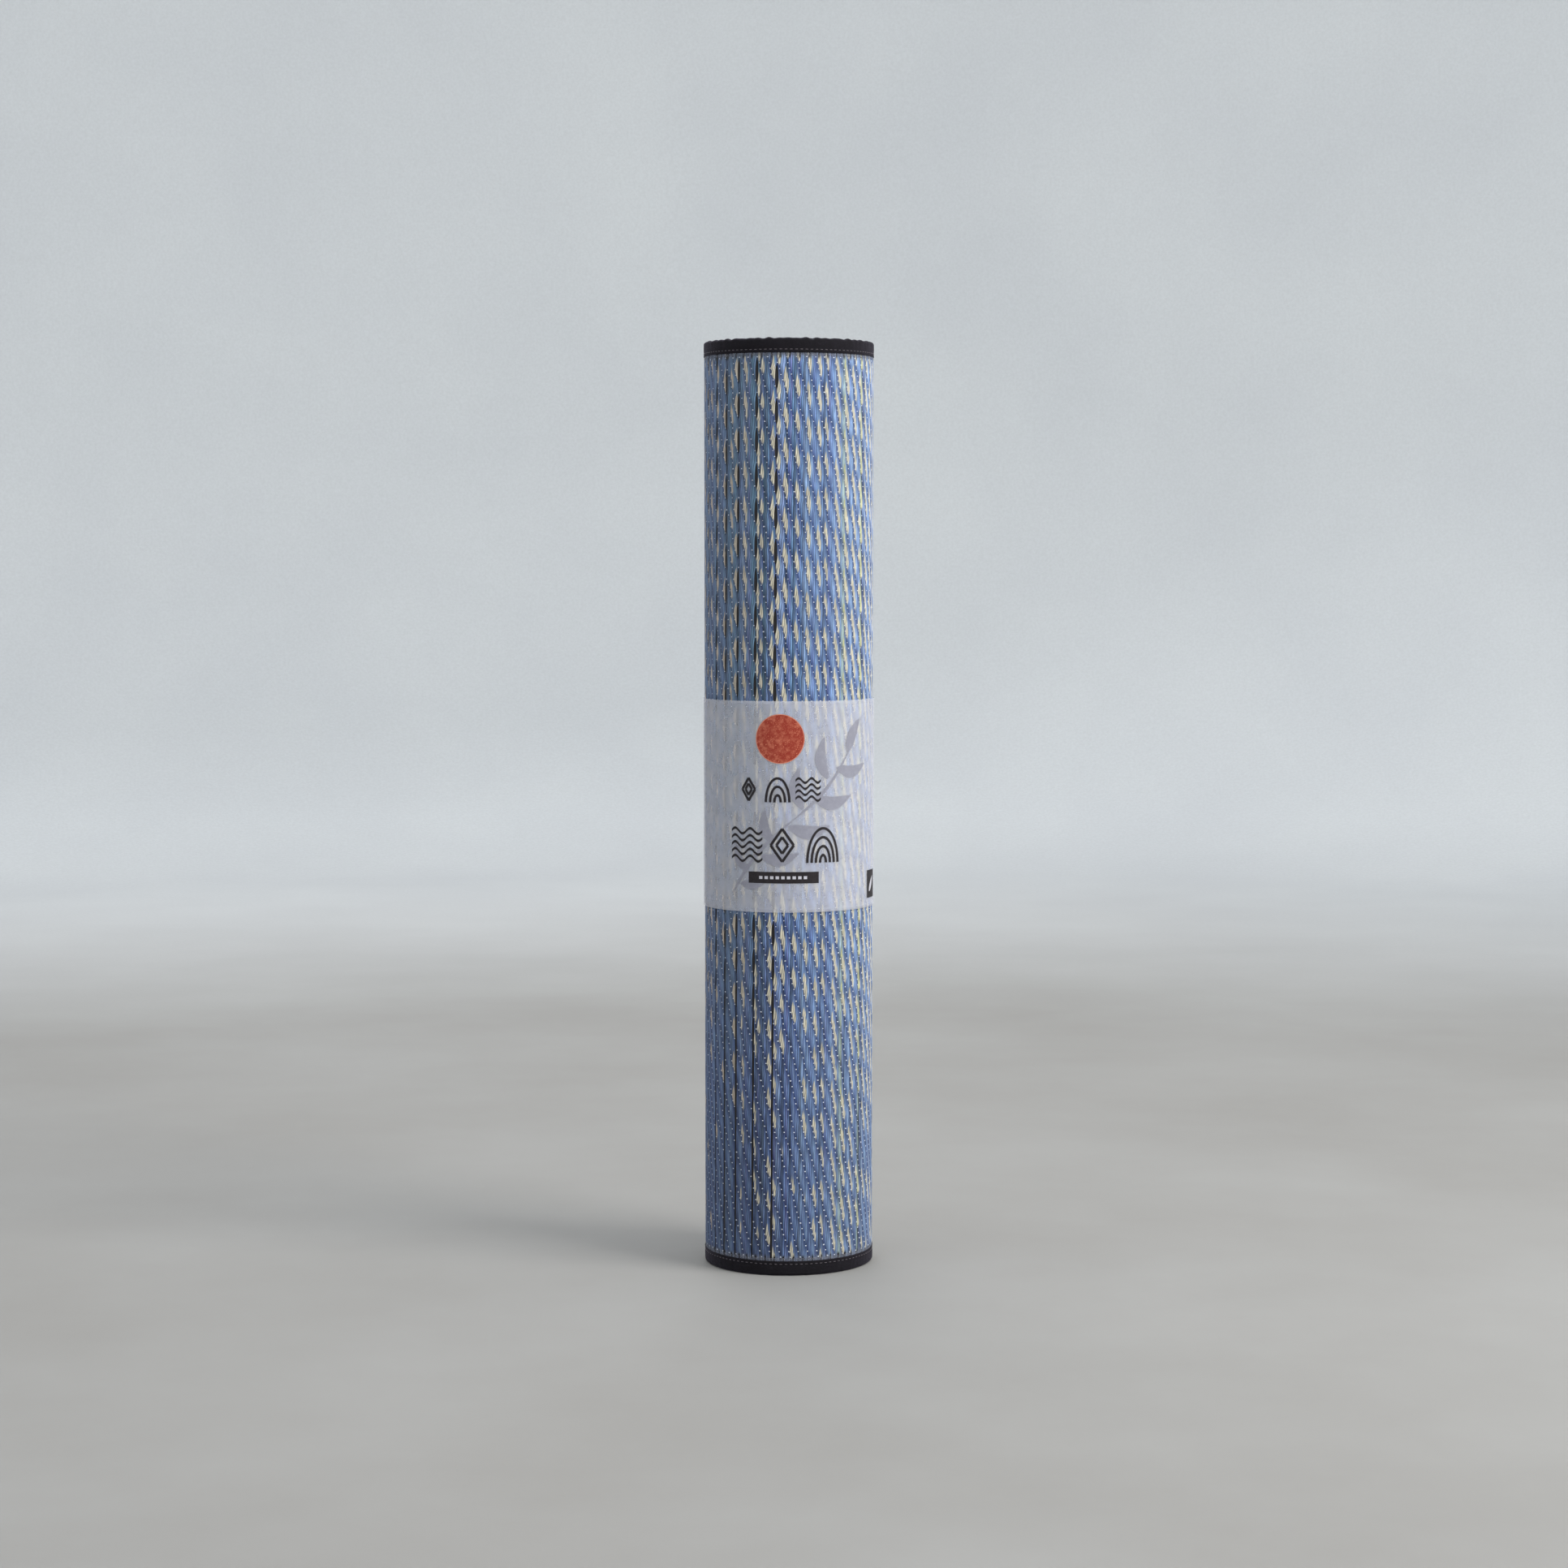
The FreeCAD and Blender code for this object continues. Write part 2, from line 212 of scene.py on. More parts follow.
def new_piece(name, points, faces, material, body, flat_groups=(), colours=None, places=None):
    """A mesh from groups of faces, turned outward. colours go on face corners, and places on points."""
    points = np.asarray(points, dtype=np.float64).reshape(-1, 3)
    faces = [np.asarray(group, dtype=np.int64) for group in faces]
    if signed_volume(points, faces) < 0:
        faces = [group[:, ::-1] for group in faces]
        if colours is not None:
            colours = [group[:, ::-1] for group in colours]
    sizes = np.concatenate([np.full(len(group), group.shape[1]) for group in faces])
    smooth = np.concatenate(
        [np.full(len(group), number not in flat_groups) for number, group in enumerate(faces)]
    )
    corners = np.concatenate([group.ravel() for group in faces])
    mesh = bpy.data.meshes.new(name)
    mesh.vertices.add(len(points))
    mesh.vertices.foreach_set("co", points.ravel())
    mesh.loops.add(len(corners))
    mesh.loops.foreach_set("vertex_index", corners)
    mesh.polygons.add(len(sizes))
    mesh.polygons.foreach_set("loop_start", np.concatenate([[0], np.cumsum(sizes)[:-1]]))
    mesh.polygons.foreach_set("use_smooth", smooth)
    mesh.update(calc_edges=True)
    edge_of = np.empty(len(corners), dtype=np.int32)
    mesh.loops.foreach_get("edge_index", edge_of)
    sharp = np.zeros(len(mesh.edges), dtype=bool)
    sharp[edge_of[~np.repeat(smooth, sizes)]] = True
    mesh.attributes.new("sharp_edge", "BOOLEAN", "EDGE").data.foreach_set("value", sharp)
    if colours is not None:
        flat = np.concatenate([group.reshape(-1, 3) for group in colours])
        values = np.ones((len(flat), 4))
        values[:, :3] = flat
        layer = mesh.attributes.new("dye_and_shade", "FLOAT_COLOR", "CORNER")
        layer.data.foreach_set("color", values.ravel())
    if places is not None:
        layer = mesh.attributes.new("cloth_place", "FLOAT_VECTOR", "POINT")
        layer.data.foreach_set("vector", np.asarray(places, dtype=np.float64).ravel())
    mesh.materials.append(material)
    piece = bpy.data.objects.new(name, mesh)
    bpy.context.scene.collection.objects.link(piece)
    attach(piece, body)
    return piece


def grid_faces(rows, cols, closed=False):
    """Four-sided faces over rows of points. Closed rows join up at their ends."""
    row = np.arange(rows - 1)[:, None] * cols
    here = np.arange(cols if closed else cols - 1)[None, :]
    beside = (here + 1) % cols
    corners = [row + here, row + beside, row + cols + beside, row + cols + here]
    return np.stack(corners, axis=-1).reshape(-1, 4)


def sweep_faces(stations, ring):
    """The sides and two ends of a sweep, whose ring goes out along one face and back along the other."""
    pair = np.arange(ring // 2 - 1)
    end = np.stack([pair, pair + 1, ring - 2 - pair, ring - 1 - pair], axis=-1)
    return [grid_faces(stations, ring, closed=True), end[:, ::-1], end + (stations - 1) * ring]


def instances(unit, unit_faces, middles, axes):
    """Copies of a small mesh, each with its own middle and three axes."""
    points = middles[:, None, :] + np.einsum("pk,nkc->npc", unit, axes)
    shift = (np.arange(len(middles)) * len(unit))[:, None, None]
    faces = [(group[None] + shift).reshape(-1, group.shape[1]) for group in unit_faces]
    return points.reshape(-1, 3), faces


def bead(around, rings):
    """A closed ball of radius 1, as points and faces."""
    tilt = np.linspace(0, math.pi, rings + 2)[1:-1]
    spin = np.arange(around) * 2 * math.pi / around
    directions = np.stack([np.cos(spin), np.ones(around), np.sin(spin)], axis=-1)
    sizes = np.stack([np.sin(tilt), np.cos(tilt), np.sin(tilt)], axis=-1)
    body = sizes[:, None, :] * directions[None, :, :]
    points = np.vstack([body.reshape(-1, 3), [[0, 1, 0], [0, -1, 0]]])
    here = np.arange(around)
    beside = (here + 1) % around
    last = (rings - 1) * around
    top, bottom = rings * around + 0 * here, rings * around + 1 + 0 * here
    first_cap = np.stack([here, top, beside], axis=-1)
    last_cap = np.stack([last + beside, bottom, last + here], axis=-1)
    return points, [grid_faces(rings, around, closed=True), np.concatenate([first_cap, last_cap])]


def stitch():
    """One stitch of sewing thread, 1 to each end, that dives into the cloth there."""
    along = np.array([-1.0, -0.86, -0.5, 0.0, 0.5, 0.86, 1.0])
    lift = np.array([-1.5, -0.35, 0.1, 0.22, 0.1, -0.35, -1.5])
    thick = np.array([0.45, 0.85, 1.0, 1.0, 1.0, 0.85, 0.45])
    spin = np.arange(6) * math.pi / 3
    ring = np.stack([np.zeros(6), np.cos(spin), np.sin(spin)], axis=-1)
    points = thick[:, None, None] * ring[None]
    points[..., 0] += along[:, None]
    points[..., 1] += lift[:, None]
    return points.reshape(-1, 3), sweep_faces(len(along), 6)


# ---- materials


# Nearly all of a noise texture's values lie between these.
NOISE_LOW, NOISE_HIGH = 0.3, 0.7


class Finish:
    """A material made of nodes around one Principled shader."""

    def __init__(self, name, roughness=0.5, specular=0.5, sheen=0.0):
        self.material = bpy.data.materials.new(name)
        self.material.use_nodes = True
        self.tree = self.material.node_tree
        self.tree.nodes.clear()
        self.output = self.add("ShaderNodeOutputMaterial")
        self.shader = self.add("ShaderNodeBsdfPrincipled")
        self.shader.inputs["Roughness"].default_value = roughness
        self.shader.inputs["Specular IOR Level"].default_value = specular
        self.shader.inputs["Sheen Weight"].default_value = sheen
        self.tree.links.new(self.shader.outputs["BSDF"], self.output.inputs["Surface"])

    def add(self, kind, **settings):
        node = self.tree.nodes.new(kind)
        for key, value in settings.items():
            setattr(node, key, value)
        return node

    def feed(self, target, source):
        if isinstance(source, bpy.types.NodeSocket):
            self.tree.links.new(source, target)
        elif hasattr(source, "__len__") and len(source) == 3 and target.type == "RGBA":
            target.default_value = (*source, 1.0)
        else:
            target.default_value = source

    def attribute(self, name, output="Vector"):
        return self.add("ShaderNodeAttribute", attribute_name=name).outputs[output]

    def object_place(self):
        return self.add("ShaderNodeTexCoord").outputs["Object"]

    def scaled(self, source, scale):
        node = self.add("ShaderNodeMapping")
        self.feed(node.inputs["Vector"], source)
        node.inputs["Scale"].default_value = scale
        return node.outputs["Vector"]

    def noise(self, source, scale, detail=3.0, roughness=0.55):
        """Noise with lumps of about scale, in metres, as one number or one for each axis."""
        sizes = scale if hasattr(scale, "__len__") else (scale,) * 3
        node = self.add("ShaderNodeTexNoise")
        self.feed(node.inputs["Vector"], self.scaled(source, [1 / size for size in sizes]))
        node.inputs["Scale"].default_value = 1.0
        node.inputs["Detail"].default_value = detail
        node.inputs["Roughness"].default_value = roughness
        return node.outputs["Fac"]

    def math(self, operation, first, second=0.0):
        node = self.add("ShaderNodeMath", operation=operation)
        self.feed(node.inputs[0], first)
        self.feed(node.inputs[1], second)
        return node.outputs[0]

    def span(self, source, low, high, start=NOISE_LOW, end=NOISE_HIGH):
        """source from start to end becomes low to high."""
        node = self.add("ShaderNodeMapRange")
        self.feed(node.inputs["Value"], source)
        self.feed(node.inputs["From Min"], start)
        self.feed(node.inputs["From Max"], end)
        self.feed(node.inputs["To Min"], low)
        self.feed(node.inputs["To Max"], high)
        return node.outputs["Result"]

    def mix(self, share, first, second, blend="MIX"):
        node = self.add("ShaderNodeMix", data_type="RGBA", blend_type=blend)
        self.feed(node.inputs[0], share)
        self.feed(node.inputs[6], first)
        self.feed(node.inputs[7], second)
        return node.outputs[2]

    def separate(self, source):
        node = self.add("ShaderNodeSeparateXYZ")
        self.feed(node.inputs[0], source)
        return node.outputs

    def wave(self, source, period):
        """A sine from 0 to 1 of a length in metres."""
        turned = self.math("MULTIPLY", source, 2 * math.pi / period)
        return self.math("MULTIPLY_ADD", self.math("SINE", turned), 0.5)

    def colour(self, *mix):
        self.feed(self.shader.inputs["Base Color"], self.mix(*mix))

    def roughness(self, *span):
        self.feed(self.shader.inputs["Roughness"], self.span(*span))

    def bump(self, height, distance, strength=1.0):
        node = self.add("ShaderNodeBump")
        node.inputs["Distance"].default_value = distance
        node.inputs["Strength"].default_value = strength
        self.feed(node.inputs["Height"], height)
        self.tree.links.new(node.outputs["Normal"], self.shader.inputs["Normal"])

    def see_through(self, share):
        """Lets this share of the light straight through."""
        clear = self.add("ShaderNodeBsdfTransparent")
        blend = self.add("ShaderNodeMixShader")
        self.feed(blend.inputs[0], share)
        self.tree.links.new(self.shader.outputs["BSDF"], blend.inputs[1])
        self.tree.links.new(clear.outputs["BSDF"], blend.inputs[2])
        self.tree.links.new(blend.outputs["Shader"], self.output.inputs["Surface"])


def rush_finish():
    """Dyed rush: its dye, with painted shade and sheen, is on the mesh, with fine lengthwise fibres and
    blotches over it.
    """
    finish = Finish("dyed_rush", roughness=0.42, specular=0.45, sheen=0.08)
    place = finish.object_place()
    fibre = finish.noise(place, (0.22 * MM, 0.22 * MM, 14 * MM), detail=2.0)
    blotch = finish.noise(place, (2.2 * MM, 2.2 * MM, 7 * MM), detail=3.0)
    dye_and_shade = finish.attribute("dye_and_shade", "Color")
    shade = finish.math("MULTIPLY", finish.span(fibre, 0.72, 1.25), finish.span(blotch, 0.8, 1.2))
    tint = finish.add("ShaderNodeCombineColor")
    for channel in range(3):
        finish.feed(tint.inputs[channel], shade)
    finish.colour(1.0, dye_and_shade, tint.outputs[0], "MULTIPLY")
    finish.roughness(blotch, 0.34, 0.55)
    finish.bump(fibre, 0.06 * MM, 0.6)
    return finish.material


def thread_finish(name, colour, deep, roughness, twist=0.5 * MM):
    """Twisted thread: a fine slanting wave."""
    finish = Finish(name, roughness=roughness, specular=0.4, sheen=0.15)
    place = finish.object_place()
    parts = finish.separate(place)
    slant = finish.math("ADD", finish.math("ADD", parts[0], parts[1]), parts[2])
    strands = finish.wave(slant, twist)
    lint = finish.noise(place, 0.8 * MM)
    finish.colour(finish.math("MULTIPLY", strands, lint), deep, colour)
    finish.roughness(lint, roughness - 0.08, roughness + 0.1)
    finish.bump(strands, 0.04 * MM, 0.5)
    return finish.material


def binding_finish():
    """Black cotton tape: a twill whose lines run across it, with lint and worn edges."""
    finish = Finish("black_binding_cloth", roughness=0.85, specular=0.2, sheen=0.25)
    finish.shader.inputs["Sheen Roughness"].default_value = 0.45
    finish.shader.inputs["Sheen Tint"].default_value = (*srgb(150, 140, 165), 1.0)
    place = finish.attribute("cloth_place")
    parts = finish.separate(place)
    slant = finish.math("ADD", parts[0], parts[1])
    twill = finish.wave(slant, 0.7 * MM)
    weft = finish.wave(parts[1], 0.35 * MM)
    weave = finish.math("ADD", twill, finish.math("MULTIPLY", weft, 0.6))
    lint = finish.noise(finish.object_place(), 1.6 * MM, detail=5.0)
    dust = finish.noise(finish.object_place(), 14 * MM, detail=4.0)
    base = finish.mix(finish.span(weave, 0.0, 1.0, 0.3, 1.4), srgb(11, 9, 12), srgb(27, 24, 30))
    worn = finish.mix(finish.span(lint, 0.0, 0.5, 0.55, 0.8), base, srgb(52, 48, 56))
    finish.colour(finish.span(dust, 0.0, 0.3, 0.5, 0.75), worn, srgb(34, 31, 38))
    finish.roughness(lint, 0.78, 0.95)
    finish.bump(weave, 0.09 * MM, 0.7)
    return finish.material


def cloth_finish(name, light, dark, period, roughness=0.8):
    """A plain woven or knitted cloth."""
    finish = Finish(name, roughness=roughness, specular=0.25, sheen=0.1)
    parts = finish.separate(finish.attribute("cloth_place"))
    weave = finish.math("MULTIPLY", finish.wave(parts[0], period), finish.wave(parts[1], period))
    dirt = finish.noise(finish.object_place(), 9 * MM, detail=4.0)
    base = finish.mix(weave, dark, light)
    finish.colour(finish.span(dirt, 0.0, 0.35, 0.45, 0.8), base, dark)
    finish.roughness(dirt, roughness - 0.08, roughness + 0.08)
    finish.bump(weave, 0.12 * MM, 0.6)
    return finish.material


def foam_finish():
    """Closed-cell foam: small round cells."""
    finish = Finish("foam_sheet", roughness=0.8, specular=0.2)
    cells = finish.add("ShaderNodeTexVoronoi")
    finish.feed(cells.inputs["Vector"], finish.scaled(finish.object_place(), (1 / (0.6 * MM),) * 3))
    cells.inputs["Scale"].default_value = 1.0
    distance = cells.outputs["Distance"]
    finish.colour(distance, srgb(150, 148, 144), srgb(205, 203, 198))
    finish.roughness(distance, 0.7, 0.88, 0.0, 1.0)
    finish.bump(distance, 0.1 * MM, 0.6)
    return finish.material


def tape_finish():
    """Thin gauze tape, half see-through, with loose fibres."""
    finish = Finish("edge_gauze", roughness=0.6, specular=0.35)
    place = finish.object_place()
    fray = finish.noise(place, (0.5 * MM, 0.5 * MM, 2.5 * MM), detail=4.0)
    finish.colour(finish.span(fray, 0.0, 1.0, 0.35, 0.65), srgb(104, 106, 120), srgb(160, 163, 174))
    finish.roughness(fray, 0.5, 0.7)
    finish.bump(fray, 0.08 * MM, 0.6)
    finish.see_through(finish.span(fray, 0.94, 0.68, 0.35, 0.65))
    return finish.material


def paper_finish():
    """Thin translucent paper with a cloudy formation and short fibres."""
    finish = Finish("vellum_paper", roughness=0.5, specular=0.4)
    place = finish.object_place()
    cloud = finish.noise(place, 7 * MM, detail=5.0, roughness=0.6)
    fibre = finish.noise(place, (1.6 * MM, 1.6 * MM, 0.35 * MM), detail=3.0)
    grain = finish.noise(place, 0.4 * MM, detail=2.0)
    base = finish.mix(finish.span(cloud, 0.0, 1.0), srgb(240, 240, 248), srgb(246, 246, 252))
    finish.colour(finish.span(fibre, 0.0, 0.35, 0.5, 0.75), base, srgb(250, 250, 254))
    finish.roughness(grain, 0.42, 0.6)
    finish.bump(finish.math("ADD", fibre, grain), 0.02 * MM, 0.4)
    finish.see_through(finish.span(cloud, 0.75, 0.71))
    return finish.material


def ink_finish(name, colour, worn, coverage=0.25, roughness=0.5, grain_size=0.45 * MM):
    """Printing ink on rough paper: specks where the paper shows, and uneven cover."""
    finish = Finish(name, roughness=roughness, specular=0.35)
    place = finish.object_place()
    grain = finish.noise(place, grain_size, detail=4.0, roughness=0.7)
    patch = finish.noise(place, 3.5 * MM, detail=4.0)
    speck = finish.span(grain, 0.0, coverage * 2, 0.55, 0.72)
    base = finish.mix(speck, colour, worn)
    finish.colour(finish.span(patch, 0.0, coverage, 0.45, 0.75), base, worn)
    finish.roughness(grain, roughness - 0.1, roughness + 0.15)
    finish.bump(grain, 0.03 * MM, 0.5)
    return finish.material


def glue_finish():
    """Dried paste between two layers of paper."""
    finish = Finish("dried_paste", roughness=0.3, specular=0.5)
    streak = finish.noise(finish.object_place(), (1.2 * MM, 1.2 * MM, 6 * MM), detail=4.0)
    finish.colour(streak, srgb(214, 204, 176), srgb(236, 230, 212))
    finish.roughness(streak, 0.2, 0.42)
    finish.bump(streak, 0.05 * MM, 0.6)
    return finish.material


rush = rush_finish()
warp_cotton = thread_finish("warp_thread", srgb(250, 252, 255), srgb(214, 222, 236), 0.45)
binding_cloth = binding_finish()
seam_thread = thread_finish("black_seam_thread", srgb(150, 140, 146), srgb(60, 54, 60), 0.55, 0.35 * MM)
backing_cloth = cloth_finish("grey_grip_backing", srgb(120, 122, 126), srgb(62, 63, 68), 1.6 * MM)
foam = foam_finish()
edge_tape = tape_finish()
paper = paper_finish()
paste = glue_finish()
red_ink = ink_finish("red_ink", srgb(156, 52, 34), srgb(218, 128, 98), 0.7, grain_size=0.9 * MM)
rim_ink = ink_finish("pale_red_ink", srgb(212, 130, 104), srgb(226, 176, 160), 0.3)
black_ink = ink_finish("black_ink", srgb(30, 24, 27), srgb(74, 66, 72), 0.2)
grey_ink = ink_finish("grey_ink", srgb(146, 146, 158), srgb(166, 166, 178), 0.5)
pale_ink = ink_finish("pale_ink", srgb(206, 204, 212), srgb(172, 170, 178), 0.3)


# ---- the woven rush


def smoothing(count, width):
    """A matrix that averages each value with its neighbours."""
    place = np.arange(count)
    weight = np.exp(-0.5 * ((place[:, None] - place[None, :]) / width) ** 2)
    return (weight / weight.sum(axis=1, keepdims=True)).T


def blend_dye(base, colour, share):
    share = (share * np.ones((WEAVE_ROWS, STEMS)))[..., None]
    return base * (1 - share) + colour * share


# The weave is worked out on a grid: a row for each step of height, and a column for each stem.
row_height = WARP_START + ROW_STEP * (np.arange(WEAVE_ROWS) - 2)
height = row_height[:, None]
stem = np.arange(STEMS)
weave_start = OUTER_START - 1.0 * MM
weave_end = MAT_LENGTH - 1.6 * MM
stem_pitch = (weave_end - weave_start) / STEMS
# Degrees round the roll from the middle of its front, positive to the right.
stem_angle = np.degrees(turn_at(weave_start + (stem + 0.5) * stem_pitch) - OUTER_TURN) - 180
angle = stem_angle[None, :]


def along_stems(step, seed, low=-1.0, high=1.0):
    """For each stem, a random value that changes gently down its height."""
    draw = np.random.default_rng(seed)
    knots = np.linspace(row_height[0], row_height[-1], int((row_height[-1] - row_height[0]) / step) + 2)
    table = draw.uniform(low, high, (len(knots), STEMS))
    place = np.clip(np.searchsorted(knots, row_height, side="right") - 1, 0, len(knots) - 2)
    share = ease((row_height - knots[place]) / (knots[place + 1] - knots[place]))[:, None]
    return table[place] * (1 - share) + table[place + 1] * share


def each_stem(low, high):
    return random.uniform(low, high, STEMS)[None, :]


def some_stems(share):
    return each_stem(0, 1) < share


# Each tie is one warp further down than its neighbour's, so the pattern slants.
repeats = (WARP_START - WARP * stem[None, :] - height) / REPEAT
phase = np.mod(repeats, 1)
repeat_number = np.floor(repeats).astype(int)
repeat_number -= repeat_number.min()
tie_distance = np.minimum(phase, 1 - phase) * REPEAT
swell = np.sin(math.pi * phase)


# Cream stems side by side, and the numbers of dyed ones that may follow, up to an angle round the roll.
CREAM_BY_ANGLE = (
    (-12, 3, (3, 4, 4, 5)),
    (10, 3, (2, 4, 4, 5)),
    (28, 3, (1, 2, 4, 4)),
    (100, 5, (1, 2, 2, 3)),
)


def cream_size_and_gap(place):
    if abs(place) > 100:
        return 3, int(random.integers(3, 6))
    size, gaps = next(row[1:] for row in CREAM_BY_ANGLE if place < row[0] or row is CREAM_BY_ANGLE[-1])
    return size, int(random.choice(gaps))


def choose_cream():
    """Which stems are cream in part of every repeat, and the group each belongs to."""
    group = np.full(STEMS, -1)
    place = 3
    number = 0
    while place < STEMS - 4:
        size, gap = cream_size_and_gap(stem_angle[place])
        group[place : place + size] = number
        number += 1
        place += size + gap
    return group, number


def stem_at(place):
    return int(np.argmin(np.abs(stem_angle - place)))


# Angles of the gaps where a stem is missing, in front and elsewhere, and of the greenish stems.
DARK_ANGLES = (-57, -45.5, -34.7, -21.6, -6.3, -98, -83, -70.5, 96, 121, 150, -128, -160)
GREEN_ANGLES = (41, 59, 133, -141)
# Cream stems beside three of the gaps, counted from the gap.
BY_DARK = ((-34.7, (-2, -1)), (-21.6, (-7, -6, 1, 2)), (-6.3, (-3, -2, -1, 1, 2)))

cream_group, cream_groups = choose_cream()
dark_stems = [stem_at(place) for place in DARK_ANGLES]
dark = np.zeros(STEMS, bool)
dark[dark_stems] = True
cream_group[dark] = -1
for place, beside in BY_DARK:
    middle = stem_at(place)
    cream_group[middle - 4 : middle + 4] = -1
    cream_group[middle + np.array(beside)] = cream_groups
is_cream = (cream_group >= 0)[None, :]

# Cream comes thick above the sleeve and thins out below it, most on the left.
right_share = rise(angle, -5, 45) * (np.abs(angle) < 90)
high_share = rise(height, 0.1, 0.13)
presence = high_share + (1 - high_share) * (0.2 + 0.64 * right_share)
luck = random.uniform(0, 1, (cream_groups + 1, repeat_number.max() + 1))
shown = ease((presence - luck[cream_group[None, :], repeat_number]) / 0.08 + 0.5)
shown = np.where(is_cream, shown, 0)

# Each flame of cream opens slowly and ends sharply, as a share of the repeat.
flame_start = each_stem(0.4, 0.5) + 0.06 * (1 - high_share)
flame_start = flame_start + 0.06 * rise(angle, 15, 20) * (angle < 100)
flame_end = each_stem(0.82, 0.96)
flame = np.clip((phase - flame_start) / 0.34, 0, 1) ** 0.9 * ease((flame_end - phase) / 0.05)
flame = flame * shown

# A gap is a row of short slots high up, and one long slot low down.
slot_long = ease((0.24 - height) / 0.12)
slot_shape = np.sin(math.pi * np.clip((phase - 0.22) / 0.7, 0, 1)) ** 0.6
slot_open = 1.15 + 0.4 * along_stems(25 * MM, 15)
dark_width = slot_shape * (1 - slot_long) * 2.3 + slot_long * slot_open + 0.05

# Widths, in stems: pinched at each tie and full between them.
width = 1 + each_stem(-0.16, 0.16) + along_stems(30 * MM, 11) * 0.12
width = width + 0.3 * swell - 0.25 * hump(tie_distance, 1.5 * MM)
flame_swell = 1.0 - 0.28 * rise(angle, 12, 25) * (angle < 100)
width = np.where(is_cream, 0.55 + flame_swell * flame, width)
width = np.where(dark[None, :], dark_width, width)
width = np.where(is_cream & (shown < 0.4), np.maximum(width, 0.75), width)

# Stems give way to each other, but stay near their places, and the two ends stay put.
even = np.arange(STEMS + 1)[None, :]
spacing = width / (width @ smoothing(STEMS, 3.6))
edges = np.concatenate([np.zeros((WEAVE_ROWS, 1)), np.cumsum(spacing, axis=1)], axis=1)
drift = edges * (STEMS / edges[:, -1:]) - even
drift = drift - drift @ smoothing(STEMS + 1, 9.0)
hold = np.clip(np.minimum(even, STEMS - even) / 6, 0, 1)
# The slots run straight: the stems beside one shift with it.
for middle in dark_stems:
    sway = (drift[:, middle] + drift[:, middle + 1]) / 2
    drift = drift - (sway - sway.mean())[:, None] * hump(even - middle - 0.5, 4)
wander = ripple(height, (0.21, 0.13, 0.077), 5) * 0.12
lean = 6.8 * (height - 0.59) * MM / stem_pitch * ease(hold)
edges = (even + (drift + wander) * hold + lean) * stem_pitch
stem_width = np.diff(edges, axis=1)

# Dye of every stem at every row, with painted light and shade added further on. First the stems' own
# colours, by where they are on the roll.
tone = np.clip(each_stem(0.3, 0.8) + 0.22 * along_stems(26 * MM, 21), 0, 1)
dye_and_shade = blend_dye(DEEP_BLUE, PERIWINKLE, tone)
teal_region = 0.95 * hump(angle + 22, 30) + 0.3 * (np.abs(angle) > 100) + 0.08
teal_luck = each_stem(0, 1)
teal = np.clip(teal_region * rise(height, 0.1, 0.3) * 0.9 + 0.12, 0, 1)
teal = teal * ease((teal_luck + 0.3 * along_stems(40 * MM, 31)) * 1.3)
purple = some_stems(0.2) * 0.55 + 0.25 * ease((-angle - 48) / 20) + 0.15 * along_stems(35 * MM, 41)
sky = some_stems(0.3) * 0.6 + 0.35 * rise(angle, -5, 40) + 0.2 * along_stems(18 * MM, 51)
# Painted sheen: some stems blended paler toward the right side, where the light grazes them.
right_sheen = rise(angle, 48, 24) * some_stems(0.4) * 0.55
for colour, share, most in ((TEAL, teal, 0.9), (PURPLE, purple, 0.8), (SKY, sky, 0.85), (SHEEN_PALE, right_sheen, 1.0)):
    dye_and_shade = blend_dye(dye_and_shade, colour, np.clip(share, 0, most))

# Then the cream flames, rosier on the left, and the greenish stems.
cream_dye = blend_dye(ROSE_CREAM, CREAM, rise(angle, -50, 40))
cream_dye = cream_dye * (1 + 0.1 * along_stems(9 * MM, 61))[..., None]
cream_share = np.where(is_cream, ease(flame * 4.0), 0)
mostly_cream = cream_share > 0.3
dye_and_shade = blend_dye(dye_and_shade, cream_dye, cream_share)
green = sum(0.75 * hump(angle - place, 1.3) for place in GREEN_ANGLES)
dye_and_shade = blend_dye(dye_and_shade, LEAF_GREEN, green * (0.5 + 0.4 * along_stems(45 * MM, 71, 0, 1)))

# Then painted light and shade. Bands that slant with the ties, mostly painted light: shade where the stems
# pinch at each tie, highlight where they swell between ties. Painted shade greying the left side, and
# single stems darkened as painted shade of deep grooves, with random streaks along the stems.
dye_and_shade = dye_and_shade * (1 - 0.25 * hump(tie_distance, 1.2 * MM))[..., None]
dye_and_shade = blend_dye(dye_and_shade, DEEP_BLUE, 0.7 * (1 - swell) * (1 - cream_share))
dye_and_shade = blend_dye(dye_and_shade, SKY, 0.25 * swell**3 * (1 - cream_share))
dye_and_shade = dye_and_shade * np.where(mostly_cream, 1.0, 0.7 + 0.48 * swell)[..., None]
# Painted shade: stems greyed toward the left side, away from the key light, more so above the sleeve.
left_shade = (0.2 + 0.28 * high_share) * ease((-angle - 2) / 30) * (angle > -110)
dye_and_shade = blend_dye(dye_and_shade, SHADE_GREY, left_shade * (1 - 0.8 * cream_share))
# Painted shade: some stems darkened as deep grooves, with random streaks along every stem.
streak = np.where(some_stems(0.18), 0.55, 1.04) + 0.16 * along_stems(14 * MM, 91)
dye_and_shade = dye_and_shade * np.clip(np.where(mostly_cream, 1.0, streak), 0.4, 1.3)[..., None]

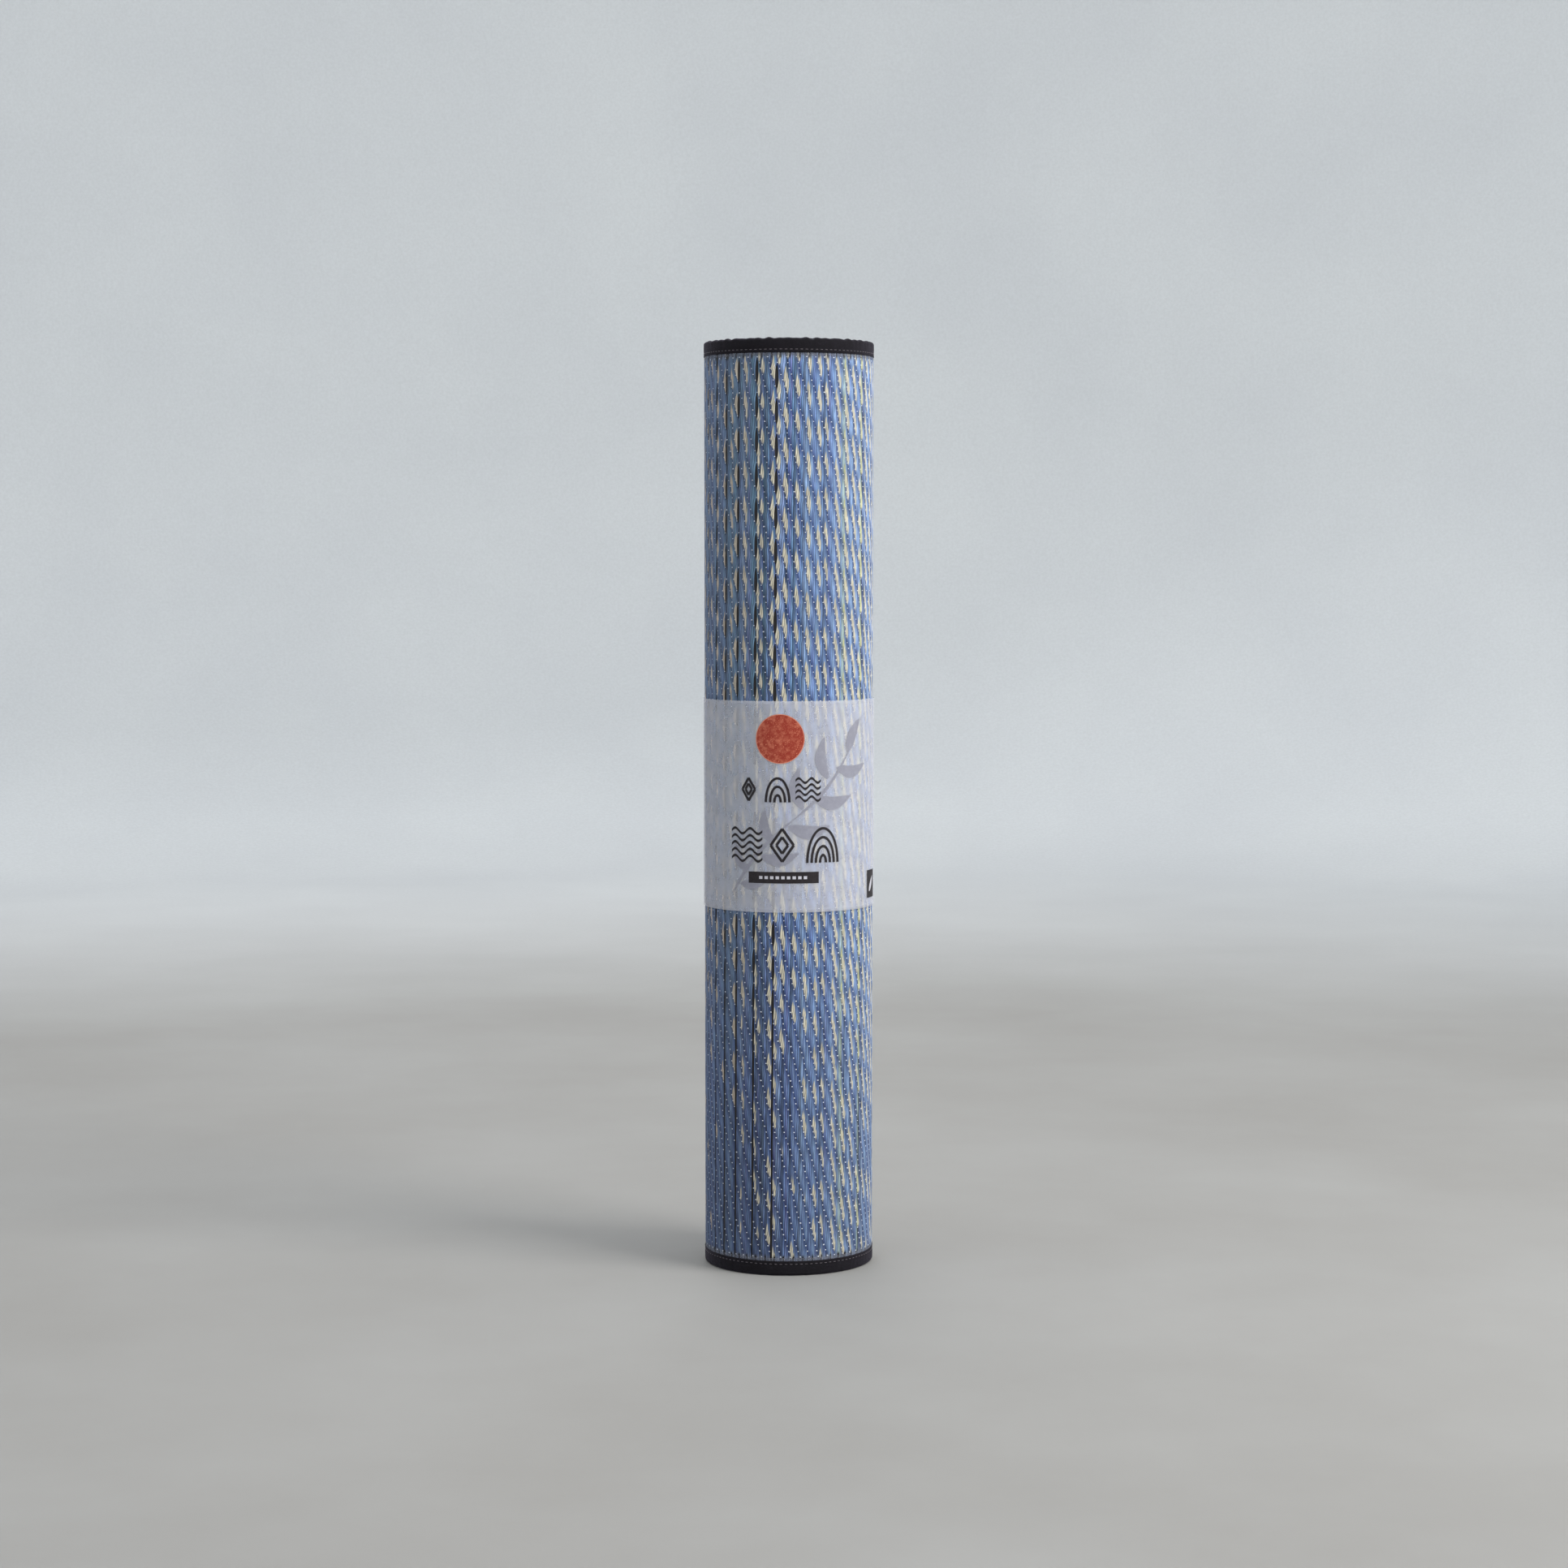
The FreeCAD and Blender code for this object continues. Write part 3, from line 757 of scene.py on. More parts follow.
# Last painted shade on the foot of the roll, greyer stems beside the bindings, and painted shadow in the
# gaps.
# Painted shade: the stems grey a little and darken toward the foot of the roll, more on the left.
dye_and_shade = blend_dye(dye_and_shade, SHADE_GREY, 0.05 * (1 - rise(height, 0.1, 0.2)) * (1 - cream_share))
foot_shade = (1 - rise(height, 0.02, 0.26)) * (0.26 + 0.1 * (np.abs(angle + 50) < 50))
dye_and_shade = dye_and_shade * (1 - foot_shade * (1 - 0.7 * cream_share))[..., None]
# Stems greyer just beside the bindings.
by_binding = np.maximum(rise(height, 0.5866, 0.0015), ease((0.0134 - height) / 0.0015))
dye_and_shade = blend_dye(dye_and_shade, BY_BINDING_GREY, 0.45 * by_binding)
# Painted shadow: every sixth stem beside the bindings is dark, in the gaps the seams pinch.
pinched = by_binding * (stem % TIE_REPEAT == 2)[None, :]
dye_and_shade = blend_dye(dye_and_shade, SHADOW_BROWN, pinched)
dye_and_shade = np.where(dark[None, :, None], SHADOW_BROWN, dye_and_shade)

# Five points across each stem, two of them shared with its neighbours.
ACROSS = np.array([0.0, 0.2, 0.5, 0.8])
PROFILE = np.array([0.0, 0.76, 1.0, 0.76])
crest = np.sqrt(np.clip(stem_width / stem_pitch, 0.05, 1.25))
fall = 0.26 * MM * hump(tie_distance, 1.4 * MM)
sunk = np.where(dark[None, :], 0.95 * MM, 0.7 * MM * pinched)
level = RUSH_FRONT - GROOVE
top_level = level + GROOVE * crest - fall - sunk
# The stems are pressed down where the bindings cover them.
tucked = ease((MAT_LENGTH - 9.0 * MM - weave_start - edges[:, :-1]) / (1.5 * MM))
flat_ends = np.minimum(rise(height, 0.0088, 0.003), ease((0.5908 - height) / 0.003))
squeeze = 0.35 * MM * (1 - tucked * flat_ends)

columns = STEMS * len(ACROSS) + 1
along = np.empty((WEAVE_ROWS, columns))
out = np.empty((WEAVE_ROWS, columns))
for point, (share, bulge) in enumerate(zip(ACROSS, PROFILE)):
    along[:, point:-1:4] = edges[:, :-1] + share * stem_width
    out[:, point:-1:4] = level * (1 - bulge) + top_level * bulge - squeeze
along[:, -1] = edges[:, -1]
out[:, -1] = level - squeeze[:, -1]
weave_turn = turn_at(weave_start + along)
weave_z = np.repeat(height, columns, axis=1)
front = spiral_points(weave_turn, np.minimum(out, RUSH_FRONT + 0.05 * MM), weave_z)
back = spiral_points(weave_turn, FOAM_FRONT + 0.02 * MM, weave_z)


def weave_sector(number, rows, cols):
    """A closed slab of the woven rush between these rows and columns."""
    row_count, col_count = rows[1] - rows[0] + 1, cols[1] - cols[0] + 1
    near = front[rows[0] : rows[1] + 1, cols[0] : cols[1] + 1].reshape(-1, 3)
    back_rows = np.unique(np.append(np.arange(0, row_count - 1, 8), row_count - 1))
    far = back[rows[0] + back_rows][:, cols[0] : cols[1] + 1].reshape(-1, 3)
    base = len(near)
    quads = grid_faces(row_count, col_count)
    behind = base + grid_faces(len(back_rows), col_count)[:, [0, 3, 2, 1]]
    step = np.arange(col_count - 1)
    last_near, last_far = (row_count - 1) * col_count, base + (len(back_rows) - 1) * col_count
    low = np.stack([step + 1, step, base + step, base + step + 1], axis=-1)
    high = np.stack([last_near + step, last_near + step + 1, last_far + step + 1, last_far + step], axis=-1)
    walls = {}
    for part in range(len(back_rows) - 1):
        first, last = back_rows[part], back_rows[part + 1]
        for side in (0, col_count - 1):
            climb = [r * col_count + side for r in range(first, last + 1)]
            face = climb + [base + (part + 1) * col_count + side, base + part * col_count + side]
            face = face if side else face[::-1]
            walls.setdefault(len(face), []).append(face)
    wall_groups = [np.array(walls[size])[:, ::-1] for size in sorted(walls)]

    tint_rows = dye_and_shade[rows[0] : rows[1] + 1]
    stem_of = (cols[0] + np.arange(col_count - 1)) // 4
    part_of = (cols[0] + np.arange(col_count - 1)) % 4
    # The corners at each stem's two edges are painted half as bright: painted shade in the grooves between
    # stems.
    left = np.where(part_of == 0, 0.5, 1.0)[None, :, None]
    right = np.where(part_of == 3, 0.5, 1.0)[None, :, None]
    lower, upper = tint_rows[:-1][:, stem_of], tint_rows[1:][:, stem_of]
    tint = np.stack([lower * left, lower * right, upper * right, upper * left], axis=2)
    colours = [tint.reshape(-1, 4, 3)]
    groups = [quads, behind, low, high] + wall_groups
    for group in groups[1:]:
        colours.append(np.broadcast_to(DEEP_BLUE * 0.6, (*group.shape, 3)))
    name = f"rush_weave_{number:02d}"
    new_piece(name, np.vstack([near, far]), groups, rush, "roll", range(1, len(groups)), colours)


SECTORS = 6
TIERS = 4
row_cuts = np.linspace(0, WEAVE_ROWS - 1, TIERS + 1).astype(int)
col_cuts = np.linspace(0, STEMS, SECTORS + 1).astype(int) * len(ACROSS)
for tier in range(TIERS):
    for sector in range(SECTORS):
        weave_sector(tier * SECTORS + sector + 1, row_cuts[tier : tier + 2], col_cuts[sector : sector + 2])

# The warp threads show where each one crosses a stem.
tie_row, tie_stem = np.nonzero(tie_distance < 0.01 * MM)
inside = (row_height[tie_row] > 0.0115) & (row_height[tie_row] < 0.588) & ~dark[tie_stem]
inside &= weave_start + edges[tie_row, tie_stem] < MAT_LENGTH - 9.5 * MM
tie_row, tie_stem = tie_row[inside], tie_stem[inside]
tie_width = stem_width[tie_row, tie_stem]
tie_along = edges[tie_row, tie_stem] + tie_width / 2
tie_turn = turn_at(weave_start + tie_along)
low_down = ease((0.26 - row_height[tie_row]) / 0.1)
tie_luck = random.uniform(0, 1, len(tie_row))
sink = np.where(tie_luck < 0.22 * (1 - low_down), 0.16 * MM, 0.0)
tie_out = top_level[tie_row, tie_stem] + 0.04 * MM - sink
tie_height = row_height[tie_row] + random.normal(0, 0.08 * MM, len(tie_row))
tie_middle = spiral_points(tie_turn, tie_out, tie_height)
across, outward = along_at(tie_turn), outward_at(tie_turn)
upward = np.broadcast_to([0.0, 0.0, 1.0], outward.shape)
tilt = random.uniform(-0.35, 0.35, len(tie_row))[:, None]
half_width = (np.clip(tie_width * 0.62, 0.42 * MM, 0.64 * MM) * (0.95 + 0.05 * low_down))[:, None]
half_height = (random.uniform(0.32, 0.46, len(tie_row)) * MM * (0.9 + 0.1 * low_down))[:, None]
tie_across = (across + upward * tilt) * half_width
tie_upward = (upward - across * tilt) * half_height
tie_axes = np.stack([tie_across, outward * 0.2 * MM, tie_upward], axis=1)
BEAD = bead(8, 3)
TIE_PIECES = 4
for number in range(TIE_PIECES):
    chosen = (tie_stem * TIE_PIECES) // STEMS == number
    points, faces = instances(*BEAD, tie_middle[chosen], tie_axes[chosen])
    name = f"warp_ties_{number + 1}"
    new_piece(name, points, faces, warp_cotton, "roll")


# ---- rolled layers


def rolled_sheet(name, stations, back_out, front_out, heights, material, colours=None):
    """A closed sheet along the spiral, from its back face to its front face."""
    turn = turn_at(stations)
    shape = (len(stations), len(heights))
    sides = []
    for out, side_heights in ((front_out, heights), (back_out, heights[::-1])):
        plan = [np.broadcast_to(part[:, None], shape) for part in spiral(turn, out)]
        sides.append(np.stack([*plan, np.broadcast_to(side_heights, shape)], axis=-1))
    points = np.concatenate(sides, axis=1)
    height = points[..., 2]
    places = np.stack([np.broadcast_to(stations[:, None], height.shape), height, 0 * height], axis=-1)
    faces = sweep_faces(*height.shape)
    tints = None
    if colours is not None:
        tints = [np.broadcast_to(colours, (*group.shape, 3)) for group in faces]
    return new_piece(name, points, faces, material, "roll", (1, 2), tints, places)


GLUE_GAP = 0.02 * MM
layer_heights = np.linspace(1.5 * MM, MAT_WIDTH - 1.5 * MM, 9)
fine_steps = even_steps(0, LENGTHS[2], 0.8 * MM)[:-1]
backing_steps = np.concatenate([fine_steps, even_steps(LENGTHS[2], MAT_LENGTH, 3 * MM)])
backing_steps = backing_steps[(backing_steps > 0.4 * MM) & (backing_steps < MAT_LENGTH - 1.2 * MM)]
grip = 0.05 * MM * ripple(backing_steps, (1.6 * MM,), 3)
backing_piece = rolled_sheet(
    "nonslip_backing_sheet",
    backing_steps,
    0.06 * MM + grip,
    np.full_like(grip, BACKING_FRONT),
    layer_heights,
    backing_cloth,
)
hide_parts("nonslip_backing")

foam_steps = even_steps(1.0 * MM, MAT_LENGTH - 2.0 * MM, 3 * MM)
foam_back = np.full_like(foam_steps, BACKING_FRONT + GLUE_GAP)
foam_front = FOAM_FRONT - GLUE_GAP - 0.04 * MM * (1 + ripple(foam_steps, (11 * MM, 17 * MM), 4))
foam_heights = np.linspace(2.5 * MM, MAT_WIDTH - 2.5 * MM, 9)
foam_piece = rolled_sheet("foam_core_sheet", foam_steps, foam_back, foam_front, foam_heights, foam)
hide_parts("foam_core")

# The buried turns of rush show only at the roll's ends: a rib for each stem.
inner_steps = even_steps(1.2 * MM, weave_start, stem_pitch / 4)
rib = np.abs(np.sin(math.pi * inner_steps / stem_pitch)) ** 0.7
rib_back = np.full_like(rib, FOAM_FRONT + GLUE_GAP)
rib_front = RUSH_FRONT - 0.05 * MM - GROOVE * (1 - rib)
inner_dye = DEEP_BLUE * 0.4 + PERIWINKLE * 0.6
inner_rush = rolled_sheet(
    "rush_inner_turns", inner_steps, rib_back, rib_front, foam_heights[[0, -1]], rush, inner_dye
)
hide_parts("rush_face")
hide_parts("warp_threads")


# ---- edge tapes and bindings


# The end bindings' seam and reach, from their fold, which stands this far beyond the mat's end.
END_SEAM = 7.5 * MM
END_REACH = 9.9 * MM
END_STANDS_OUT = 0.3 * MM
# How far the rim bindings' fold rises and falls along the edge: the lower one stands on the floor.
TOP_LUMPS = 0.9 * MM
BOTTOM_LUMPS = 0.2 * MM

STITCH = stitch()
STITCH_STEP = 3.3 * MM
STITCH_LENGTH = 1.8 * MM
THREAD = 0.22 * MM
THREAD_SUNK = 0.2 * MM


def flip(height, at_top):
    """A height counted from the mat's edge, as a height in the frame."""
    return MAT_WIDTH - height if at_top else height


def edge_tape_strip(name, node, at_top):
    """Gauze glued over the stems, whose frayed edge shows beside the binding."""
    stations = even_steps(2 * MM, MAT_LENGTH - 2 * MM, 0.8 * MM)
    start, thick = 1.5 * MM, 0.12 * MM
    fray = TAPE_WIDTH - 0.5 * MM + 0.45 * MM * ripple(stations, (2.6 * MM, 4.1 * MM, 7.3 * MM), 13 + at_top)
    drop = 0.12 * MM * np.abs(np.sin(math.pi * (stations - weave_start) / stem_pitch)) ** 2
    share = np.array([0.0, 0.35, 0.6, 0.8, 1.0])
    heights = flip(start + (fray[:, None] - start) * share[None, :], at_top)
    faces = []
    for front in (TAPE_FRONT - drop, TAPE_FRONT - thick - drop):
        turn, out = np.broadcast_arrays(turn_at(stations)[:, None], front[:, None], heights)[:2]
        faces.append(spiral_points(turn, out, heights))
    points = np.concatenate([faces[0], faces[1][:, ::-1]], axis=1)
    grid = sweep_faces(len(stations), 2 * len(share))
    piece = new_piece(name, points, grid, edge_tape, "roll", (1, 2))
    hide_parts(node)


def folded_tape(half_width, reach, round_reach, side_points=8, round_points=12):
    """One face of a tape folded over an edge: out along one side, round the fold, back along the other.
    Gives places across, from -half_width to half_width, and distances from the fold, from reach to 0."""
    side = np.linspace(reach, round_reach, side_points)
    spin = np.linspace(0, math.pi, round_points + 2)[1:-1]
    flat_side = np.full(side_points, half_width)
    place = np.concatenate([flat_side, half_width * np.cos(spin), -flat_side])
    depth = np.concatenate([side, round_reach * (1 - np.sin(spin)), side[::-1]])
    return place, depth


def binding_section(stations, half_width, reach, round_reach, seam, seed, lumps):
    """Rings of a puckered binding at these lengths along its seam.
    Gives places across the mat, distances from the fold, and places across the flat tape."""
    place, depth = folded_tape(half_width, reach, round_reach)
    lining, lining_depth = folded_tape(half_width - CLOTH, reach, round_reach)
    lining_depth = lining_depth + CLOTH * (1 - lining_depth / reach)
    along = stations[:, None]
    stitches = 0.5 + 0.5 * np.sin(2 * math.pi * along / STITCH_STEP)
    creases = 0.5 + 0.5 * ripple(along, (5.3 * MM, 3.7 * MM, 8.9 * MM), seed)
    # The seam pinches the tape, most at each stitch, and the free cloth beside it creases.
    pinch = 0.3 * MM * hump(depth - seam, 1.0 * MM)
    free = np.clip(1 - np.abs(depth - round_reach) / (seam - round_reach + 1 * MM), 0, 1)
    hem = np.clip((depth - reach + 1.2 * MM) / (1.2 * MM), 0, 1)
    give = pinch * (0.7 + 0.3 * stitches) + 0.22 * MM * free * creases
    give = give + 0.1 * MM * hem * (0.5 - 0.5 * stitches)
    lump = lumps * (0.3 + 0.55 * ripple(along, (6.3 * MM, 7.9 * MM, 11.3 * MM), seed + 1))
    sink = lump * ease(1 - depth / (seam * 0.9))
    outer = place - np.sign(place) * np.minimum(give, np.abs(place))
    inner = lining - np.sign(lining) * np.minimum(give, np.abs(lining))
    across = np.concatenate([outer, inner[:, ::-1]], axis=1)
    down = np.concatenate([depth + sink, (lining_depth + sink)[:, ::-1]], axis=1)
    tape_place = np.concatenate([depth * np.sign(place), (lining_depth * np.sign(lining))[::-1]])
    return across, down, tape_place


def cloth_binding(name, node, points, stations, tape_place):
    """A piece of folded tape, with its weave's directions, cut to this length."""
    shape = points.shape[:2]
    along, across = np.broadcast_to(stations[:, None], shape), np.broadcast_to(tape_place, shape)
    places = np.stack([along, across, np.zeros(shape)], axis=-1)
    faces = sweep_faces(*shape)
    piece = new_piece(name, points, faces, binding_cloth, "roll", (1, 2), None, places)
    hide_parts(node)


def rim_binding(name, node, at_top, seed):
    """The cloth tape sewn over one long edge of the mat, rolled up with it."""
    hidden = even_steps(0, OUTER_START, 1.7 * MM)[:-1]
    stations = np.concatenate([hidden, even_steps(OUTER_START, MAT_LENGTH, 0.8 * MM)])
    half = (BINDING_FRONT - BINDING_BACK) / 2
    lumps = TOP_LUMPS if at_top else BOTTOM_LUMPS
    across, down, tape_place = binding_section(
        stations, half, BINDING_WIDTH, 1.7 * MM, SEAM_HEIGHT, seed, lumps
    )
    turn = np.broadcast_to(turn_at(stations)[:, None], across.shape)
    points = spiral_points(turn, (BINDING_FRONT + BINDING_BACK) / 2 + across, flip(down, at_top))
    cloth_binding(name, node, points, stations, tape_place)


def end_binding(name, node, outer_end, seed):
    """The cloth tape sewn over one short end of the mat, flatter where the rim bindings cover it."""
    stations = even_steps(1.2 * MM, MAT_WIDTH - 1.2 * MM, 1.4 * MM)
    under_rim = np.abs(stations - MAT_WIDTH / 2) > MAT_WIDTH / 2 - BINDING_WIDTH + 0.4 * MM
    half = (END_BINDING_FRONT - BINDING_BACK) / 2
    across, down, tape_place = binding_section(
        stations, half, END_REACH, 1.3 * MM, END_SEAM, seed, 0.25 * MM
    )
    out = (END_BINDING_FRONT + BINDING_BACK) / 2 + across * np.where(under_rim, 0.85, 1.0)[:, None]
    length = MAT_LENGTH + END_STANDS_OUT - down if outer_end else down - END_STANDS_OUT
    # Past the mat's ends the tape goes straight on.
    inside = np.clip(length, 0, MAT_LENGTH)
    heights = np.broadcast_to(stations[:, None], across.shape)
    points = spiral_points(turn_at(inside), out, heights)
    points[..., 0] -= length - inside
    cloth_binding(name, node, points, stations, tape_place)


def sewn_row(name, node, middles, along, outward):
    """Stitches at these places, each along one direction and standing out in another."""
    sideways = np.cross(along, outward)
    axes = np.stack([along * STITCH_LENGTH / 2, outward * THREAD * 0.8, sideways * THREAD], axis=1)
    points, faces = instances(*STITCH, middles, axes)
    piece = new_piece(name, points, faces, seam_thread, "roll")
    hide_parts(node)


def stitch_level(front, outside):
    """How far out a seam's stitches lie, and which way they face."""
    return (front - THREAD_SUNK, 1) if outside else (BINDING_BACK + THREAD_SUNK, -1)


def rim_stitches(name, node, at_top, outside):
    turn = turn_at(np.arange(11 * MM, MAT_LENGTH - 11 * MM, STITCH_STEP))
    out, facing = stitch_level(BINDING_FRONT, outside)
    middles = spiral_points(turn, out, flip(SEAM_HEIGHT, at_top) + 0 * turn)
    sewn_row(name, node, middles, along_at(turn), outward_at(turn) * facing)


def end_stitches(name, node, outer_end, outside):
    heights = np.arange(BINDING_WIDTH + 3 * MM, MAT_WIDTH - BINDING_WIDTH - 3 * MM, STITCH_STEP)
    length = MAT_LENGTH + END_STANDS_OUT - END_SEAM if outer_end else END_SEAM - END_STANDS_OUT
    turn = turn_at(np.full_like(heights, length))
    out, facing = stitch_level(END_BINDING_FRONT, outside)
    middles = spiral_points(turn, out, heights)
    along = np.broadcast_to([0.0, 0.0, 1.0], middles.shape)
    sewn_row(name, node, middles, along, outward_at(turn) * facing)


EDGES = (("top", True, 17), ("bottom", False, 29))
ENDS = (("outer_end", True, 37), ("inner_end", False, 43))
THREADS = (("needle", True), ("bobbin", False))

for edge, at_top, _ in EDGES:
    edge_tape_strip(f"{edge}_gauze_tape", f"{edge}_edge_tape", at_top)
for edge, at_top, seed in EDGES:
    rim_binding(f"{edge}_cloth_binding", f"{edge}_binding", at_top, seed)
for edge, at_top, _ in EDGES:
    for thread, outside in THREADS:
        rim_stitches(f"{edge}_{thread}_stitches", f"{edge}_binding_{thread}_thread", at_top, outside)
for end, outer_end, seed in ENDS:
    end_binding(f"{end}_cloth_binding", f"{end}_binding", outer_end, seed)
for end, outer_end, _ in ENDS:
    for thread, outside in THREADS:
        end_stitches(f"{end}_{thread}_stitches", f"{end}_{thread}_thread", outer_end, outside)


# ---- the paper sleeve

# The sleeve's left half goes round one middle and its right half round another, as the roll does, and a
# straight bridge at the back joins them. Its outer end laps over its inner end there.
LEFT_RADIUS = CORE_RADIUS + HALF_PITCH * 14 + SLEEVE_OUTSIDE
RIGHT_RADIUS = CORE_RADIUS + HALF_PITCH * 15 + SLEEVE_OUTSIDE
BRIDGE_START_X = -1.7 * MM
OVERLAP_ROOT_X = 28.8 * MM
OVERLAP_EDGE_X = 12.8 * MM
PASTE_END_X = 24.8 * MM
FLAP_RISE = 0.25 * MM
FLAP_RAMP = 0.05


def paper_wave(along, height):
    """How far the paper stands off its true shape: a faint cockle."""
    cockle = np.sin(2 * math.pi * along / 0.047 + 3 * np.sin(2 * math.pi * height / 0.19))
    return 0.035 * MM * cockle * np.sin(2 * math.pi * (height - SLEEVE_LOW) / 0.083 + along * 21)


def back_angle(x):
    """The angle from the back at which the right half's arc has this x."""
    return math.asin((x - MIDDLE_X) / RIGHT_RADIUS)


def arc_points(radius, middle_y, start, end, step):
    """Plan points on an arc, by angle from the back, clockwise seen from above, with their normals."""
    angle = even_steps(min(start, end), max(start, end), step / radius)
    if end < start:
        angle = angle[::-1]
    normal = np.stack([np.sin(angle), np.cos(angle)], axis=-1)
    return normal * radius + [MIDDLE_X, middle_y], normal


def sleeve_line(step):
    """The sleeve's outer face in plan, from its inner end, round the front, to its outer end."""
    root, edge, leave = [back_angle(x) for x in (OVERLAP_ROOT_X, OVERLAP_EDGE_X, BRIDGE_START_X)]
    under, under_normal = arc_points(RIGHT_RADIUS, 0.0, root, leave, step)
    start = under[-1]
    reach = start - np.array([MIDDLE_X, EVEN_MIDDLE_Y])
    tangent = math.atan2(reach[0], reach[1]) - math.acos(LEFT_RADIUS / np.hypot(*reach))
    left, left_normal = arc_points(LEFT_RADIUS, EVEN_MIDDLE_Y, tangent, -math.pi, step)
    share = np.linspace(0, 1, int(np.hypot(*(left[0] - start)) / step) + 2)[1:-1, None]
    bridge = start * (1 - share) + left[0] * share
    bridge_normal = np.broadcast_to(left_normal[0], bridge.shape)
    right, right_normal = arc_points(RIGHT_RADIUS, 0.0, -math.pi, edge - 2 * math.pi, step)
    turned = np.linspace(-math.pi, edge - 2 * math.pi, len(right))
    climb = ease((root - 2 * math.pi + FLAP_RAMP - turned) / FLAP_RAMP)[:, None] * FLAP_RISE
    right = right + right_normal * climb
    line = np.vstack([under, bridge, left, right[1:]])
    normal = np.vstack([under_normal, bridge_normal, left_normal, right_normal[1:]])
    return line, normal


line, line_normal = sleeve_line(1.2 * MM)
line_length = np.concatenate([[0], np.cumsum(np.hypot(*np.diff(line, axis=0).T))])
front_length = line_length[np.argmin(line[:, 1])]
sleeve_heights = np.linspace(SLEEVE_LOW, SLEEVE_HIGH, 61)
stand = paper_wave((line_length - front_length)[:, None], sleeve_heights[None, :])


def sleeve_face(extra):
    place = line[:, None, :] + line_normal[:, None, :] * (stand + extra)[..., None]
    heights = np.broadcast_to(sleeve_heights, place.shape[:2])
    return np.concatenate([place, heights[..., None]], axis=-1)


sleeve_points = np.concatenate([sleeve_face(0.0), sleeve_face(-PAPER)[:, ::-1]], axis=1)
sleeve_faces = sweep_faces(*sleeve_points.shape[:2])
sleeve = new_piece(
    "printed_paper_sleeve", sleeve_points, sleeve_faces, paper, "sleeve", (1, 2)
)
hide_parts("paper_sleeve")


def on_sleeve(along, height, lift):
    """A point on the sleeve's outer face: along is measured round from the middle of the front."""
    right = along > 0
    radius = np.where(right, RIGHT_RADIUS, LEFT_RADIUS)
    middle_y = np.where(right, 0.0, EVEN_MIDDLE_Y)
    angle = along / radius
    stand_off = radius + paper_wave(along, height) + lift
    x, y = MIDDLE_X + stand_off * np.sin(angle), middle_y - stand_off * np.cos(angle)
    return np.stack([x, y, height + 0 * angle], axis=-1)


INK = 0.03 * MM
INK_GAP = 0.012 * MM


def printed(name, grids, material, level=0):
    """Flat shapes printed on the sleeve, at a level above the paper.
    Each grid is places along and heights, rows by columns."""
    all_points, all_faces, base = [], [[], []], 0
    lift = INK_GAP + level * INK
    for along, height in grids:
        up = along[1, 0] - along[0, 0], height[1, 0] - height[0, 0]
        across = along[0, 1] - along[0, 0], height[0, 1] - height[0, 0]
        faces_inwards = up[0] * across[1] - up[1] * across[0] > 0
        if faces_inwards:
            along, height = along[:, ::-1], height[:, ::-1]
        rows, cols = along.shape
        for extra in (lift + INK, lift):
            all_points.append(on_sleeve(along, height, extra).reshape(-1, 3))
        quads = grid_faces(rows, cols)
        all_faces[0] += [quads + base, quads[:, ::-1] + base + rows * cols]
        number = np.arange(rows * cols).reshape(rows, cols)
        rim = np.concatenate([number[0], number[1:, -1], number[-1, -2::-1], number[-2:0:-1, 0]])
        after = np.roll(rim, -1)
        wall = np.stack([after, rim, rim + rows * cols, after + rows * cols], axis=-1)
        all_faces[1].append(wall + base)
        base += 2 * rows * cols
    faces = [np.concatenate(group) for group in all_faces]
    new_piece(name, np.vstack(all_points), faces, material, "sleeve", (1,))


def around(angle):
    """Length round the sleeve from the front's middle to an angle in degrees, positive to the right."""
    return math.radians(angle) * (RIGHT_RADIUS if angle > 0 else LEFT_RADIUS)


def printed_at(angle, height):
    """A place on the sleeve, from an angle in degrees and a height in millimetres."""
    return around(angle), height * MM


def rectangle(left, right, low, high, step=1.0 * MM):
    return np.meshgrid(even_steps(left, right, step), even_steps(low, high, 2 * step))


def heading(start, end):
    """A start, ready to add grids to, the distance to the end, and the directions along and across."""
    reach = math.dist(start, end)
    along = [(end[0] - start[0]) / reach, (end[1] - start[1]) / reach]
    across = [-along[1], along[0]]
    return np.reshape(start, (2, 1, 1)), reach, np.reshape(along, (2, 1, 1)), np.reshape(across, (2, 1, 1))


def stroke(start, end, thick, step=0.8 * MM):
    """A straight stroke between two points of (along, height)."""
    start, reach, along, across = heading(start, end)
    length = even_steps(0, reach, step)[:, None]
    width = np.array([-0.5, 0.5]) * thick
    return start + along * length + across * width


def leaf(base, tip, wide, bend=0.15, count=25):
    """A narrow leaf between two points, bent to one side."""
    base, reach, along, across = heading(base, tip)
    share = np.linspace(0.0, 1.0, count)[:, None]
    half = wide / 2 * np.sin(math.pi * share**0.8) ** 0.8 + 0.08 * MM
    curve = bend * reach * np.sin(math.pi * share)
    width = np.array([-1.0, -0.33, 0.33, 1.0])
    return base + along * (share * reach) + across * (curve + half * width)


def disc(middle, inner, outer, rings, spokes=96):
    """A disc or ring: an inner radius of 0 closes it with a small hub."""
    radius = np.linspace(max(inner, 0.05 * MM), outer, rings)[:, None]
    spin = np.linspace(0, 2 * math.pi, spokes + 1)[None, :]
    return middle[0] + radius * np.cos(spin), middle[1] + radius * np.sin(spin)


